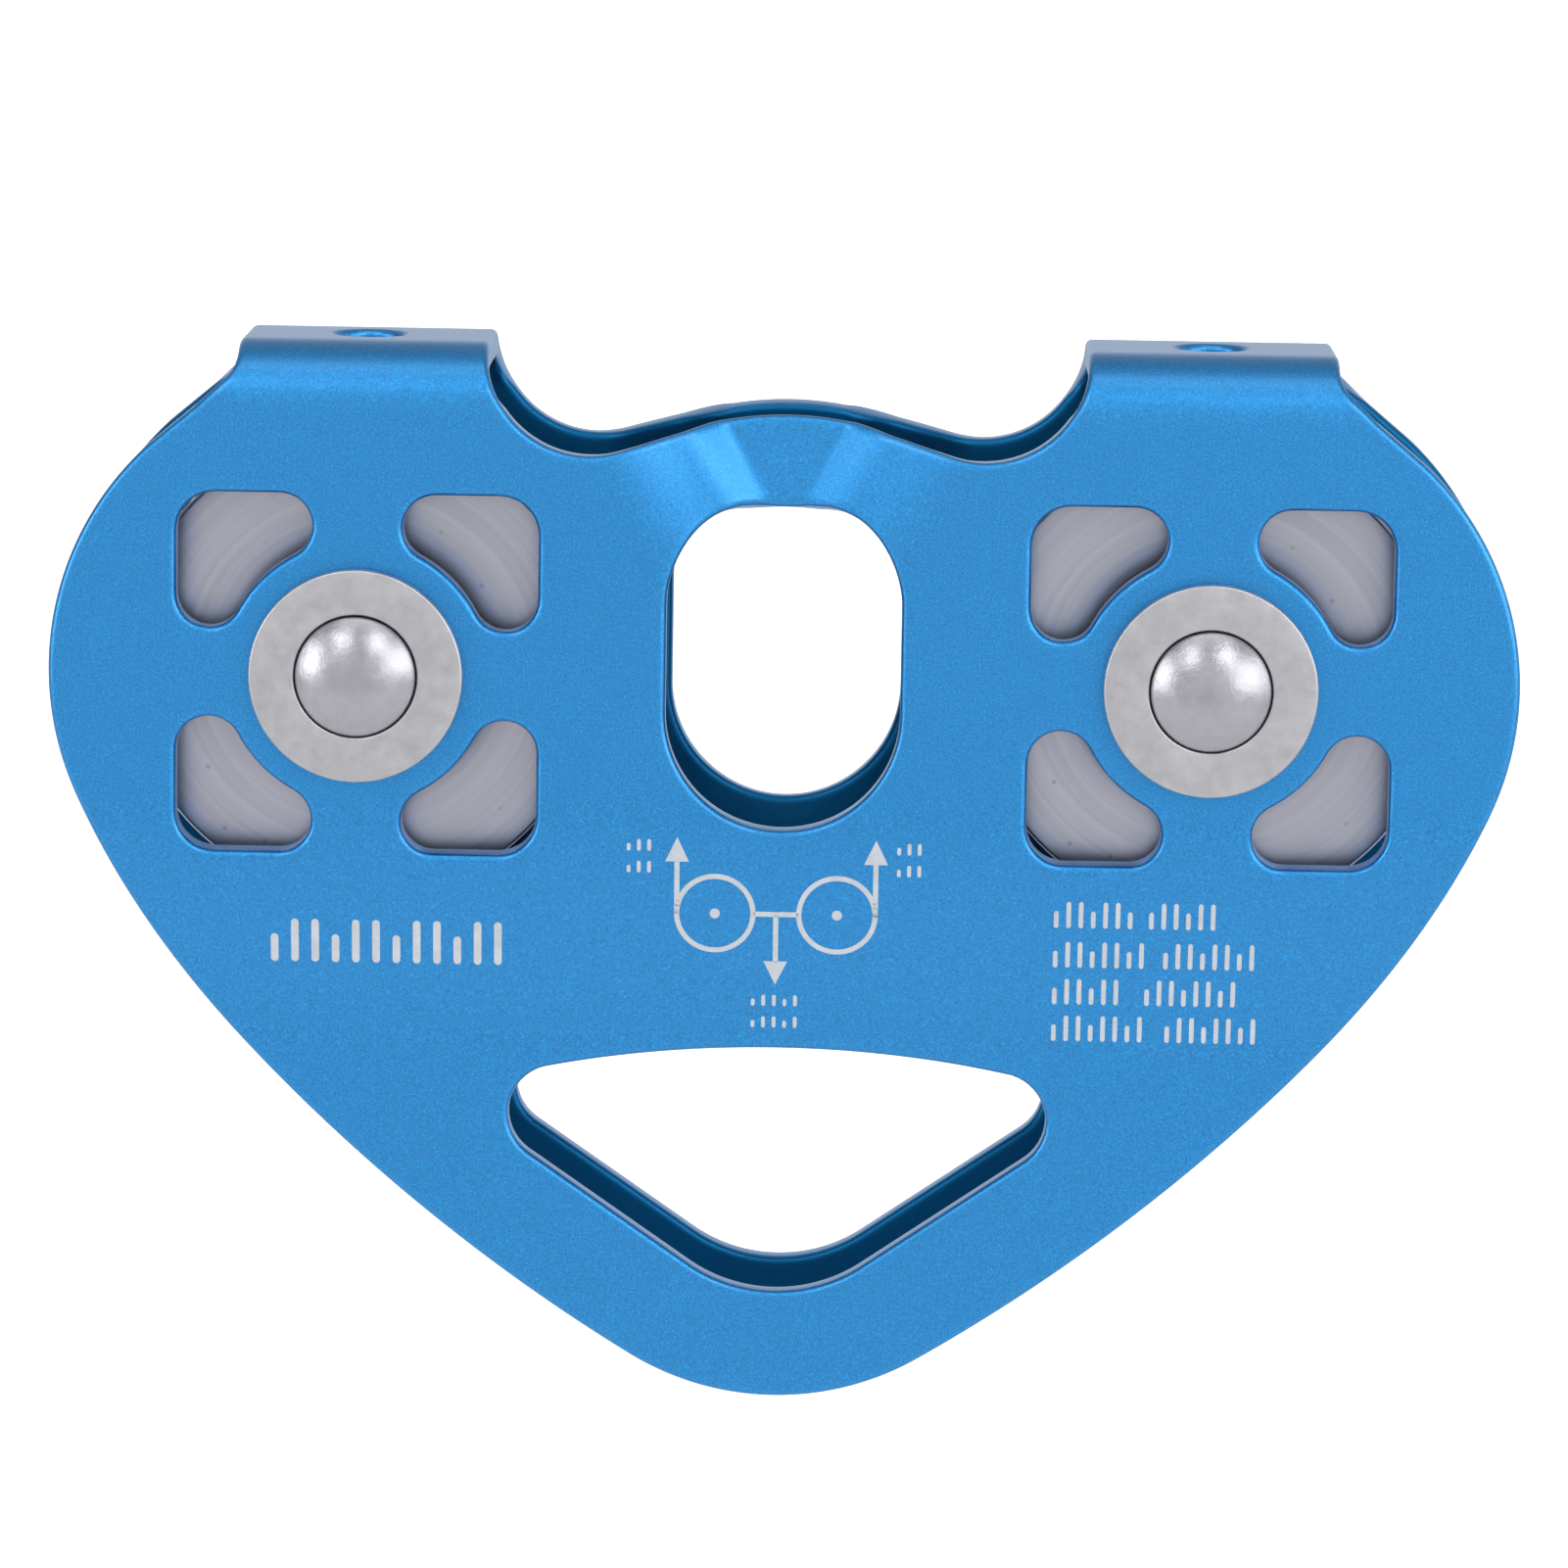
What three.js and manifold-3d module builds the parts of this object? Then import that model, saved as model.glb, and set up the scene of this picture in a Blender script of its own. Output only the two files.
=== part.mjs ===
// A tandem rope pulley: one folded aluminium frame that straddles a rope, two ball-bearing sheaves in line
// under its two bridges, and a riveted axle with a ring washer on each side through each sheave.
// Millimetres. X runs along the rope, -Y is the front, +Z is up. The origin is on the rope's centre line,
// midway between the sheaves.
import * as THREE from "three";
import { mergeVertices } from "three/addons/utils/BufferGeometryUtils.js";
import Module from "manifold-3d";

const wasm = await Module();
wasm.setup();

// Driving dimensions. Heights called "above the axles" are measured from the line through both axles.
const AXLE_SPACING = 100;
const ROPE_DIAMETER = 13;
const SHEET = 3.4; // thickness of the frame's sheet
const FRAME_WIDTH = 29; // over both plates, at the sheaves
const FRAME_TOP = 38.7; // top of the bridges above the axles
const BRIDGE_FLAT = 14.4; // flat top of a bridge, across the frame
const BRIDGE_HALF_LENGTH = 14.65;
const BRIDGE_X = 49.7; // middle of each bridge, slightly inboard of its axle
const BRIDGE_HOLE_RADIUS = 4.1;
const LOBE_RADIUS = 36.2; // outline of each plate around an axle
const CHORD_ERROR = 0.12; // most that a straight chord strays from the arc it stands for
const PRESS_ERROR = 0.35; // most that a flat facet strays from the pressed sheet
const FIT = 0.15; // gap between pieces that sit still against each other
const RUNNING_GAP = 0.3; // gap between pieces that turn past each other

// The pressed shape of the plates: both lean in towards each other above the oblong slot and below it.
const PINCH_DEPTH = 5.05; // how far each plate is pressed in at the top edge, in the middle
const PINCH_LEAN = 0.126; // how much shallower the press gets per millimetre down
const PINCH_TOP = 30.7; // height of the top edge in the middle, above the axles
const PINCH_KNEE = 20.5; // height at which the crease is at its listed distance from the middle
const CREASE_SPREAD = 0.577; // how far the creases lean outwards per millimetre up
const STEP_START = 1.5;
const STEP_WIDTH = 6.5;
const STEP_SHARE = 0.42; // share of the press that the steep inner step takes
const RAMP_START = 5;
const RAMP_WIDTH = 14.5;
const CLOSE_DEPTH = 3.5; // how far each plate is pressed in round the lower slot
const CLOSE_START = -14;
const CLOSE_END = -46;

// Sheave, bearing and axle.
const SHEAVE_RADIUS = 27.8;
const SHEAVE_HALF_WIDTH = 8.4;
const GROOVE_RADIUS = 6.7;
const GROOVE_BOTTOM = 20.5; // radius of the sheave at the bottom of its groove
const SHEAVE_BEVEL = 0.3;
const BEARING_RADIUS = 14;
const BEARING_HALF_WIDTH = 4;
const AXLE_RADIUS = 6;
const PITCH_RADIUS = 10; // circle of the balls' centres
const BALL_RADIUS = 2.3;
const BALLS = 8;
const RACE_SHOULDER = 1.5; // from the pitch circle to each ring's shoulder
const SHIELD_THICKNESS = 0.45;
const CAGE_HALF_THICKNESS = 0.55;
const CAGE_HALF_WIDTH = 3.1;
const SNAP_RING_THICKNESS = 1;
const SNAP_RING_WIDTH = 1.9;
const SNAP_GROOVE_DEPTH = 0.8;
const SHOULDER_RADIUS = 12.2; // bore of the lip that the bearing seats against
const SPACER_RADIUS = 8.3;
const WASHER_RADIUS = 12.55;
const WASHER_THICKNESS = 1.8;
const WASHER_BEVEL = 0.3;
const RECESS_RADIUS = 7.2; // shallow recess of the washer round the rivet head
const RECESS_DEPTH = 0.7;
const HEAD_RADIUS = 6.9;
const HEAD_HEIGHT = 2.6; // rise of the rivet's dome above the washer
const ROUND_STEPS = 24;
const SHEAVE_STEPS = 32;

// Worked out from the driving dimensions.
const AXLE_DROP = GROOVE_BOTTOM + ROPE_DIAMETER / 2; // rope line above the axles
const OUTER_Y = FRAME_WIDTH / 2;
const INNER_Y = OUTER_Y - SHEET;
const MIDDLE_Y = OUTER_Y - SHEET / 2;
const BEND_RADIUS = OUTER_Y - BRIDGE_FLAT / 2;
const AXLE_X = AXLE_SPACING / 2;
const degrees = THREE.MathUtils.degToRad;

const MATERIALS = {
  blue: { color: 0x388bcd, roughness: 0.42, metalness: 0.6 },
  sheave: { color: 0xb0b1bd, roughness: 0.38, metalness: 0.9 },
  washer: { color: 0xc0c0c4, roughness: 0.35, metalness: 0.9 },
  rivet: { color: 0xc3c1cd, roughness: 0.18, metalness: 1 },
  steel: { color: 0xb8bcc2, roughness: 0.25, metalness: 1 },
};

// ---- Small tools ----

// Chords along an arc, ends included; angles in degrees, counter-clockwise when `to` is larger.
function arc(x, z, radius, from, to) {
  const step = 2 * Math.acos(1 - CHORD_ERROR / radius);
  const turn = degrees(to - from);
  const count = Math.max(2, Math.ceil(Math.abs(turn) / step));
  return Array.from({ length: count + 1 }, (_, i) => {
    const angle = degrees(from) + (turn * i) / count;
    return new THREE.Vector2(x + radius * Math.cos(angle), z + radius * Math.sin(angle));
  });
}

// Turns a right-hand half outline, listed from its top middle to its bottom middle, into a whole loop.
function mirrored(half) {
  const left = half
    .filter((p) => p.x > 1e-6)
    .map((p) => new THREE.Vector2(-p.x, p.y))
    .reverse();
  return half.concat(left);
}

function smooth(value) {
  const t = THREE.MathUtils.clamp(value, 0, 1);
  return t * t * (3 - 2 * t);
}

function toSolid(geometry) {
  const plain = geometry.clone();
  plain.deleteAttribute("normal");
  plain.deleteAttribute("uv");
  const merged = mergeVertices(plain, 1e-4);
  return new wasm.Manifold(
    new wasm.Mesh({
      numProp: 3,
      vertProperties: new Float32Array(merged.attributes.position.array),
      triVerts: new Uint32Array(merged.index.array),
    }),
  );
}

function toGeometry(solid) {
  const mesh = solid.getMesh();
  const geometry = new THREE.BufferGeometry();
  geometry.setAttribute("position", new THREE.BufferAttribute(mesh.vertProperties, 3));
  geometry.setIndex(new THREE.BufferAttribute(mesh.triVerts, 1));
  return geometry;
}

function named(name, geometry, finish) {
  const mesh = new THREE.Mesh(geometry, new THREE.MeshStandardMaterial(MATERIALS[finish]));
  mesh.name = name;
  return mesh;
}

// Revolves a closed section of [radius, height] points about the Y axis.
function revolve(section, steps = ROUND_STEPS) {
  const points = section.map(([radius, y]) => new THREE.Vector2(radius, y));
  points.push(points[0].clone());
  return new THREE.LatheGeometry(points, steps);
}

// A plain ring between two radii and two heights.
function ringSection(inner, outer, low, high) {
  return [
    [inner, low],
    [outer, low],
    [outer, high],
    [inner, high],
  ];
}

// ---- Frame ----

// The heart-shaped outline of a plate, right half, from the top middle round to the lower tip.
function plateOutline() {
  const crownRadius = 38;
  const crownSlope = 16.5;
  const valleyRadius = 12.1;
  const valleyBottom = 26.1;
  const filletRadius = 4;
  const shoulderAngle = 47.5;
  const bridgeIn = BRIDGE_X - BRIDGE_HALF_LENGTH;
  const bridgeOut = BRIDGE_X + BRIDGE_HALF_LENGTH;
  const above = FRAME_TOP + 2;

  const crown = arc(0, PINCH_TOP - crownRadius, crownRadius, 90, 90 - crownSlope);
  const valley = arc(
    bridgeIn - valleyRadius,
    valleyBottom + valleyRadius,
    valleyRadius,
    270 - crownSlope,
    360,
  );
  // The fillet is tangent to the bridge's side and to the sloping shoulder that meets the lobe.
  const shoulderStart = new THREE.Vector2(
    AXLE_X + LOBE_RADIUS * Math.cos(degrees(shoulderAngle)),
    LOBE_RADIUS * Math.sin(degrees(shoulderAngle)),
  );
  const slope = Math.tan(degrees(90 - shoulderAngle));
  const meet = shoulderStart.y + (shoulderStart.x - bridgeOut) * slope;
  const filletTop = meet + filletRadius * Math.tan(degrees(shoulderAngle / 2));
  const fillet = arc(bridgeOut + filletRadius, filletTop, filletRadius, 180, 180 + shoulderAngle);
  const lobeEnd = -24.6;
  const lobe = arc(AXLE_X, 0, LOBE_RADIUS, shoulderAngle, lobeEnd);

  return [
    ...crown,
    ...valley,
    new THREE.Vector2(bridgeIn, above),
    new THREE.Vector2(bridgeOut, above),
    ...fillet,
    ...lobe,
    ...flank(lobe.at(-1), lobeEnd),
  ];
}

// The long lower side: two wide arcs, a short straight and the round tip, each tangent to the last.
// Angles are those of the outward normal.
function flank(start, startAngle) {
  const wideArcs = [
    { radius: 115, to: -44.4 },
    { radius: 219.5, to: -58.7 },
  ];
  const straight = 0.51;
  const points = [];
  let at = start;
  let angle = startAngle;
  for (const { radius, to } of wideArcs) {
    const x = at.x - radius * Math.cos(degrees(angle));
    const z = at.y - radius * Math.sin(degrees(angle));
    const piece = arc(x, z, radius, angle, to);
    points.push(...piece.slice(1));
    at = piece.at(-1);
    angle = to;
  }
  const normal = new THREE.Vector2(Math.cos(degrees(angle)), Math.sin(degrees(angle)));
  const along = new THREE.Vector2(normal.y, -normal.x);
  const end = at.clone().addScaledVector(along, straight);
  const tipRadius = end.x / normal.x;
  return [...points, ...arc(0, end.y - tipRadius * normal.y, tipRadius, angle, -90)];
}

// The upright slot between the sheaves: a wide rounded top and a half-round bottom.
function oblongSlot() {
  const halfWidth = 13.77;
  const flatTop = 4.85;
  const cornerHeight = 11.3;
  const cornerBase = 8.7;
  const bottomCentre = -3.95;
  const cornerSteps = 7;
  const corner = Array.from({ length: cornerSteps + 1 }, (_, i) => {
    const angle = ((Math.PI / 2) * i) / cornerSteps;
    return new THREE.Vector2(
      flatTop + (halfWidth - flatTop) * Math.sin(angle),
      cornerBase + cornerHeight * Math.cos(angle),
    );
  });
  return mirrored([...corner, ...arc(0, bottomCentre, halfWidth, 0, -90)]);
}

// The lower slot: an arched top, round sides, straight slopes and a round bottom.
function lowerSlot() {
  const archRadius = 136;
  const archSlope = 11.5;
  const cornerRadius = 5.8;
  const cornerX = 26.1;
  const cornerZ = -52.8;
  const sideSlope = 34.5;
  const bottomRadius = 18;
  const archEnd = new THREE.Vector2(
    cornerX + cornerRadius * Math.sin(degrees(archSlope)),
    cornerZ + cornerRadius * Math.cos(degrees(archSlope)),
  );
  const arch = arc(0, archEnd.y - archRadius * Math.cos(degrees(archSlope)), archRadius, 90, 90 - archSlope);
  const corner = arc(cornerX, cornerZ, cornerRadius, 90 - archSlope, sideSlope - 90);
  const sideStart = corner.at(-1);
  const bottomStart = bottomRadius * Math.sin(degrees(sideSlope));
  const bottomZ = sideStart.y - (sideStart.x - bottomStart) * Math.tan(degrees(sideSlope));
  const bottomCentre = bottomZ + bottomRadius * Math.cos(degrees(sideSlope));
  const bottom = arc(0, bottomCentre, bottomRadius, sideSlope - 90, -90);
  return mirrored([...arch, ...corner.slice(1), ...bottom]);
}

// One bean-shaped window beside an axle: two round ends, one outer corner and a hollow inner edge.
function beanWindow(axleX, signX, signZ) {
  const reach = 21.2;
  const cornerRadius = 4.6;
  const endRadius = 3.85;
  const endNear = 9.15;
  const endFar = reach - endRadius;
  const cornerCentre = reach - cornerRadius;
  // The hollow edge is an arc about the axle, tangent to both round ends.
  const innerRadius = Math.hypot(endFar, endNear) - endRadius;
  const endAngle = THREE.MathUtils.radToDeg(Math.atan2(endNear, endFar));
  const points = [
    ...arc(endFar, endNear, endRadius, endAngle - 180, 0),
    ...arc(cornerCentre, cornerCentre, cornerRadius, 0, 90),
    ...arc(endNear, endFar, endRadius, 90, 270 - endAngle),
    ...arc(0, 0, innerRadius, 90 - endAngle, endAngle).slice(1, -1),
  ];
  return points.map((p) => new THREE.Vector2(axleX + signX * p.x, signZ * p.y));
}

// How far the sheet is pressed in towards the middle plane at a place on a plate.
function pressDepth(x, z) {
  const fromCrease = Math.abs(x) - CREASE_SPREAD * (z - PINCH_KNEE);
  const step = STEP_SHARE * smooth((fromCrease - STEP_START) / STEP_WIDTH);
  const ramp = (1 - STEP_SHARE) * smooth((fromCrease - RAMP_START) / RAMP_WIDTH);
  const pinch = (PINCH_DEPTH - PINCH_LEAN * (PINCH_TOP - z)) * (1 - step - ramp);
  const closing = CLOSE_DEPTH * smooth((CLOSE_START - z) / (CLOSE_START - CLOSE_END));
  return pinch + closing;
}

// Moves a point of the folded sheet to its place on the pressed sheet, keeping the sheet's thickness.
function press(point) {
  const side = Math.sign(point.y);
  const h = 0.01; // half the span over which the slope is measured
  const slopeX = (pressDepth(point.x + h, point.z) - pressDepth(point.x - h, point.z)) / (2 * h);
  const slopeZ = (pressDepth(point.x, point.z + h) - pressDepth(point.x, point.z - h)) / (2 * h);
  const depth = pressDepth(point.x, point.z);
  if (depth === 0 && slopeX === 0 && slopeZ === 0) return point.clone();
  const through = (MIDDLE_Y - Math.abs(point.y)) / Math.hypot(slopeX, 1, slopeZ);
  return new THREE.Vector3(
    point.x - slopeX * through,
    side * (MIDDLE_Y - depth - through),
    point.z - slopeZ * through,
  );
}

// How far the straight edge from a to b would stray from the pressed sheet.
function edgeError(a, b) {
  const pressedA = press(a);
  const pressedB = press(b);
  const parts = 8;
  let worst = 0;
  for (let i = 1; i < parts; i++) {
    const t = i / parts;
    const onSheet = press(a.clone().lerp(b, t));
    worst = Math.max(worst, onSheet.distanceTo(pressedA.clone().lerp(pressedB, t)));
  }
  return worst;
}

// Splits edges at their middles until every facet follows the pressed sheet, then presses it.
function pressed(geometry) {
  const position = geometry.attributes.position;
  const points = Array.from({ length: position.count }, (_, i) =>
    new THREE.Vector3().fromBufferAttribute(position, i),
  );
  let faces = [];
  for (let i = 0; i < geometry.index.count; i += 3) {
    faces.push([0, 1, 2].map((k) => geometry.index.getX(i + k)));
  }
  let split = true;
  while (split) {
    split = false;
    const middles = new Map();
    const middleOf = (a, b) => {
      const key = a < b ? a + "_" + b : b + "_" + a;
      if (!middles.has(key)) {
        const needed = edgeError(points[Math.min(a, b)], points[Math.max(a, b)]) > PRESS_ERROR;
        middles.set(key, needed ? points.push(points[a].clone().lerp(points[b], 0.5)) - 1 : -1);
      }
      return middles.get(key);
    };
    const next = [];
    for (const face of faces) {
      const mids = [0, 1, 2].map((k) => middleOf(face[k], face[(k + 1) % 3]));
      const count = mids.filter((m) => m >= 0).length;
      if (count > 0) split = true;
      next.push(...splitFace(face, mids, count));
    }
    faces = next;
  }
  const out = new THREE.BufferGeometry().setFromPoints(points.map(press));
  out.setIndex(faces.flat());
  return out;
}

// The triangles that replace one whose edges have middles where mids[k] >= 0, k being edge k to k + 1.
function splitFace(face, mids, count) {
  if (count === 0) return [face];
  if (count === 3) {
    const corners = [0, 1, 2].map((k) => [face[k], mids[k], mids[(k + 2) % 3]]);
    return [...corners, mids];
  }
  const k = count === 1 ? mids.findIndex((m) => m >= 0) : mids.findIndex((m) => m < 0);
  const [a, b, c] = [face[k], face[(k + 1) % 3], face[(k + 2) % 3]];
  if (count === 1) return [[a, mids[k], c], [mids[k], b, c]];
  const bc = mids[(k + 1) % 3];
  const ca = mids[(k + 2) % 3];
  return [[a, b, bc], [a, bc, ca], [ca, bc, c]];
}

// The sheet folded over into an upside-down U, long enough for the whole outline.
function foldedSheet() {
  const low = -AXLE_SPACING; // below the whole outline
  const bendZ = FRAME_TOP - BEND_RADIUS;
  const outer = arc(-BRIDGE_FLAT / 2, bendZ, BEND_RADIUS, 180, 90);
  const inner = arc(BRIDGE_FLAT / 2, bendZ, BEND_RADIUS - SHEET, 90, 0).reverse();
  const flip = (points) => points.map((p) => new THREE.Vector2(-p.x, p.y)).reverse();
  const section = [
    new THREE.Vector2(-OUTER_Y, low),
    ...outer,
    ...flip(outer),
    new THREE.Vector2(OUTER_Y, low),
    new THREE.Vector2(INNER_Y, low),
    ...inner,
    ...flip(inner),
    new THREE.Vector2(-INNER_Y, low),
  ];
  const length = 4 * AXLE_SPACING;
  const sheet = new THREE.ExtrudeGeometry(new THREE.Shape(section), { depth: length, bevelEnabled: false });
  const alongX = new THREE.Matrix4().makeBasis(
    new THREE.Vector3(0, 1, 0),
    new THREE.Vector3(0, 0, 1),
    new THREE.Vector3(1, 0, 0),
  );
  return toSolid(sheet.applyMatrix4(alongX).translate(-length / 2, 0, 0));
}

// A straight-sided solid of the given outline that runs right through both plates.
function throughBoth(points) {
  const depth = 2 * FRAME_WIDTH;
  const block = new THREE.ExtrudeGeometry(new THREE.Shape(points), { depth, bevelEnabled: false });
  return toSolid(block.rotateX(Math.PI / 2).translate(0, depth / 2, 0));
}

function buildFrame() {
  const cuts = [oblongSlot(), lowerSlot()];
  for (const side of [-1, 1]) {
    cuts.push(arc(side * AXLE_X, 0, AXLE_RADIUS + FIT, 0, 360).slice(0, -1));
    for (const signX of [-1, 1]) {
      for (const signZ of [-1, 1]) cuts.push(beanWindow(side * AXLE_X, signX, signZ));
    }
  }
  let solid = foldedSheet().intersect(throughBoth(mirrored(plateOutline())));
  for (const points of cuts) solid = solid.subtract(throughBoth(points));
  for (const side of [-1, 1]) {
    const length = 2 * BEND_RADIUS;
    const drill = new THREE.CylinderGeometry(BRIDGE_HOLE_RADIUS, BRIDGE_HOLE_RADIUS, length, ROUND_STEPS);
    drill.rotateX(Math.PI / 2).translate(side * BRIDGE_X, 0, FRAME_TOP);
    solid = solid.subtract(toSolid(drill));
  }
  return named("frame", pressed(toGeometry(solid)), "blue");
}

// ---- Sheave and bearing ----

// Half-round groove for the rope, flat bevelled sides and a stepped bore that seats the bearing.
function sheaveGeometry() {
  const grooveCentre = GROOVE_BOTTOM + GROOVE_RADIUS;
  const rimAngle = THREE.MathUtils.radToDeg(Math.asin((grooveCentre - SHEAVE_RADIUS) / GROOVE_RADIUS));
  const groove = arc(grooveCentre, 0, GROOVE_RADIUS, 270 - rimAngle, 90 + rimAngle);
  const seat = BEARING_RADIUS + FIT;
  const lip = -BEARING_HALF_WIDTH - FIT;
  const snapLow = BEARING_HALF_WIDTH + FIT;
  const snapHigh = snapLow + SNAP_RING_THICKNESS + 2 * FIT;
  const section = [
    [SHOULDER_RADIUS, -SHEAVE_HALF_WIDTH],
    [SHEAVE_RADIUS - SHEAVE_BEVEL, -SHEAVE_HALF_WIDTH],
    [SHEAVE_RADIUS, -SHEAVE_HALF_WIDTH + SHEAVE_BEVEL],
    ...groove.map((p) => [p.x, p.y]),
    [SHEAVE_RADIUS, SHEAVE_HALF_WIDTH - SHEAVE_BEVEL],
    [SHEAVE_RADIUS - SHEAVE_BEVEL, SHEAVE_HALF_WIDTH],
    [seat, SHEAVE_HALF_WIDTH],
    [seat, snapHigh],
    [seat + SNAP_GROOVE_DEPTH, snapHigh],
    [seat + SNAP_GROOVE_DEPTH, snapLow],
    [seat, snapLow],
    [seat, lip],
    [SHOULDER_RADIUS, lip],
  ];
  return revolve(section, SHEAVE_STEPS);
}

// A bearing ring; `side` is -1 for the inner ring, whose track faces out, and 1 for the outer ring.
function bearingRing(side) {
  const track = BALL_RADIUS + RUNNING_GAP;
  const mouth = THREE.MathUtils.radToDeg(Math.acos(RACE_SHOULDER / track));
  const facing = side < 0 ? 180 : 0;
  const groove = arc(PITCH_RADIUS, 0, track, facing - side * mouth, facing + side * mouth);
  const back = side < 0 ? AXLE_RADIUS + FIT : BEARING_RADIUS;
  const shoulder = PITCH_RADIUS + side * RACE_SHOULDER;
  const section = [
    [back, BEARING_HALF_WIDTH],
    [back, -BEARING_HALF_WIDTH],
    [shoulder, -BEARING_HALF_WIDTH],
    ...groove.map((p) => [p.x, p.y]),
    [shoulder, BEARING_HALF_WIDTH],
  ];
  return revolve(side < 0 ? section : section.reverse());
}

// A thin ring with one round pocket for each ball.
function cageGeometry() {
  const inner = PITCH_RADIUS - CAGE_HALF_THICKNESS;
  const outer = PITCH_RADIUS + CAGE_HALF_THICKNESS;
  const pocketRadius = BALL_RADIUS + RUNNING_GAP;
  const pocketDepth = 4;
  const pocketSteps = 10;
  let solid = toSolid(revolve(ringSection(inner, outer, -CAGE_HALF_WIDTH, CAGE_HALF_WIDTH)));
  for (let i = 0; i < BALLS; i++) {
    const pocket = new THREE.CylinderGeometry(pocketRadius, pocketRadius, pocketDepth, pocketSteps);
    pocket.rotateX(Math.PI / 2).translate(0, 0, PITCH_RADIUS);
    pocket.rotateY((2 * Math.PI * i) / BALLS);
    solid = solid.subtract(toSolid(pocket));
  }
  return toGeometry(solid);
}

// The open spring ring that keeps the bearing in the sheave.
function snapRingGeometry() {
  const outer = BEARING_RADIUS + SNAP_GROOVE_DEPTH - FIT;
  const inner = outer - SNAP_RING_WIDTH;
  const opening = 14;
  const points = [
    ...arc(0, 0, outer, opening, 360 - opening),
    ...arc(0, 0, inner, 360 - opening, opening),
  ];
  const ring = new THREE.ExtrudeGeometry(new THREE.Shape(points), {
    depth: SNAP_RING_THICKNESS,
    bevelEnabled: false,
  });
  const low = BEARING_HALF_WIDTH + 2 * FIT;
  return ring.rotateX(Math.PI / 2).translate(0, low + SNAP_RING_THICKNESS, 0);
}

// ---- Axle, washers and spacers ----

// A pin whose two ends are domed heads that hold the washers on.
function axleGeometry() {
  const washerFace = OUTER_Y + FIT + WASHER_THICKNESS;
  const headBase = washerFace - RECESS_DEPTH + FIT;
  const domeBase = washerFace + FIT;
  const domeRise = HEAD_HEIGHT - FIT;
  const domeRadius = (HEAD_RADIUS ** 2 + domeRise ** 2) / (2 * domeRise);
  const spread = THREE.MathUtils.radToDeg(Math.asin(HEAD_RADIUS / domeRadius));
  const dome = arc(0, domeBase + domeRise - domeRadius, domeRadius, 90, 90 - spread);
  const half = [...dome, new THREE.Vector2(HEAD_RADIUS, headBase), new THREE.Vector2(AXLE_RADIUS, headBase)];
  const lower = half.map((p) => new THREE.Vector2(p.x, -p.y));
  const section = [...lower, ...half.slice().reverse()];
  section[0].x = 0;
  section.at(-1).x = 0;
  return new THREE.LatheGeometry(section, ROUND_STEPS);
}

// A ring washer with a bevelled rim and a shallow recess round the head; `side` is the way it faces.
function washerGeometry(side) {
  const bore = AXLE_RADIUS + FIT;
  const back = OUTER_Y + FIT;
  const face = back + WASHER_THICKNESS;
  const section = [
    [bore, back],
    [WASHER_RADIUS, back],
    [WASHER_RADIUS, face - WASHER_BEVEL],
    [WASHER_RADIUS - WASHER_BEVEL, face],
    [RECESS_RADIUS, face],
    [RECESS_RADIUS, face - RECESS_DEPTH],
    [bore, face - RECESS_DEPTH],
  ];
  return revolve(side > 0 ? section : section.map(([radius, y]) => [radius, -y]).reverse());
}

function spacerGeometry(side) {
  const near = BEARING_HALF_WIDTH + FIT;
  const far = INNER_Y - FIT;
  const low = Math.min(side * near, side * far);
  const high = Math.max(side * near, side * far);
  return revolve(ringSection(AXLE_RADIUS + FIT, SPACER_RADIUS, low, high));
}

function shieldGeometry(side) {
  const inner = PITCH_RADIUS - RACE_SHOULDER + RUNNING_GAP;
  const outer = PITCH_RADIUS + RACE_SHOULDER - FIT;
  const far = side * (BEARING_HALF_WIDTH - FIT);
  const near = far - side * SHIELD_THICKNESS;
  return revolve(ringSection(inner, outer, Math.min(near, far), Math.max(near, far)));
}

// ---- Assembly ----

// Everything on one axle, centred on it.
function wheelSet(prefix) {
  const set = new THREE.Group();
  set.add(
    named(prefix + "_axle", axleGeometry(), "rivet"),
    named(prefix + "_sheave", sheaveGeometry(), "sheave"),
    named(prefix + "_bearing_outer_ring", bearingRing(1), "steel"),
    named(prefix + "_bearing_inner_ring", bearingRing(-1), "steel"),
    named(prefix + "_ball_cage", cageGeometry(), "steel"),
    named(prefix + "_snap_ring", snapRingGeometry(), "steel"),
  );
  for (const [word, side] of [["front", -1], ["rear", 1]]) {
    set.add(
      named(prefix + "_" + word + "_washer", washerGeometry(side), "washer"),
      named(prefix + "_" + word + "_spacer", spacerGeometry(side), "steel"),
      named(prefix + "_" + word + "_bearing_shield", shieldGeometry(side), "steel"),
    );
  }
  for (let i = 0; i < BALLS; i++) {
    const angle = (2 * Math.PI * i) / BALLS;
    const ball = named(prefix + "_ball_" + (i + 1), new THREE.IcosahedronGeometry(BALL_RADIUS, 1), "steel");
    ball.position.set(PITCH_RADIUS * Math.sin(angle), 0, PITCH_RADIUS * Math.cos(angle));
    set.add(ball);
  }
  return set;
}

const pulley = new THREE.Group();
pulley.position.z = -AXLE_DROP;
pulley.add(buildFrame());
for (const [prefix, side] of [["left", -1], ["right", 1]]) {
  const set = wheelSet(prefix);
  set.position.x = side * AXLE_X;
  pulley.add(set);
}

const rope_pulley = new THREE.Group();
rope_pulley.add(pulley);

export default rope_pulley;
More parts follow.
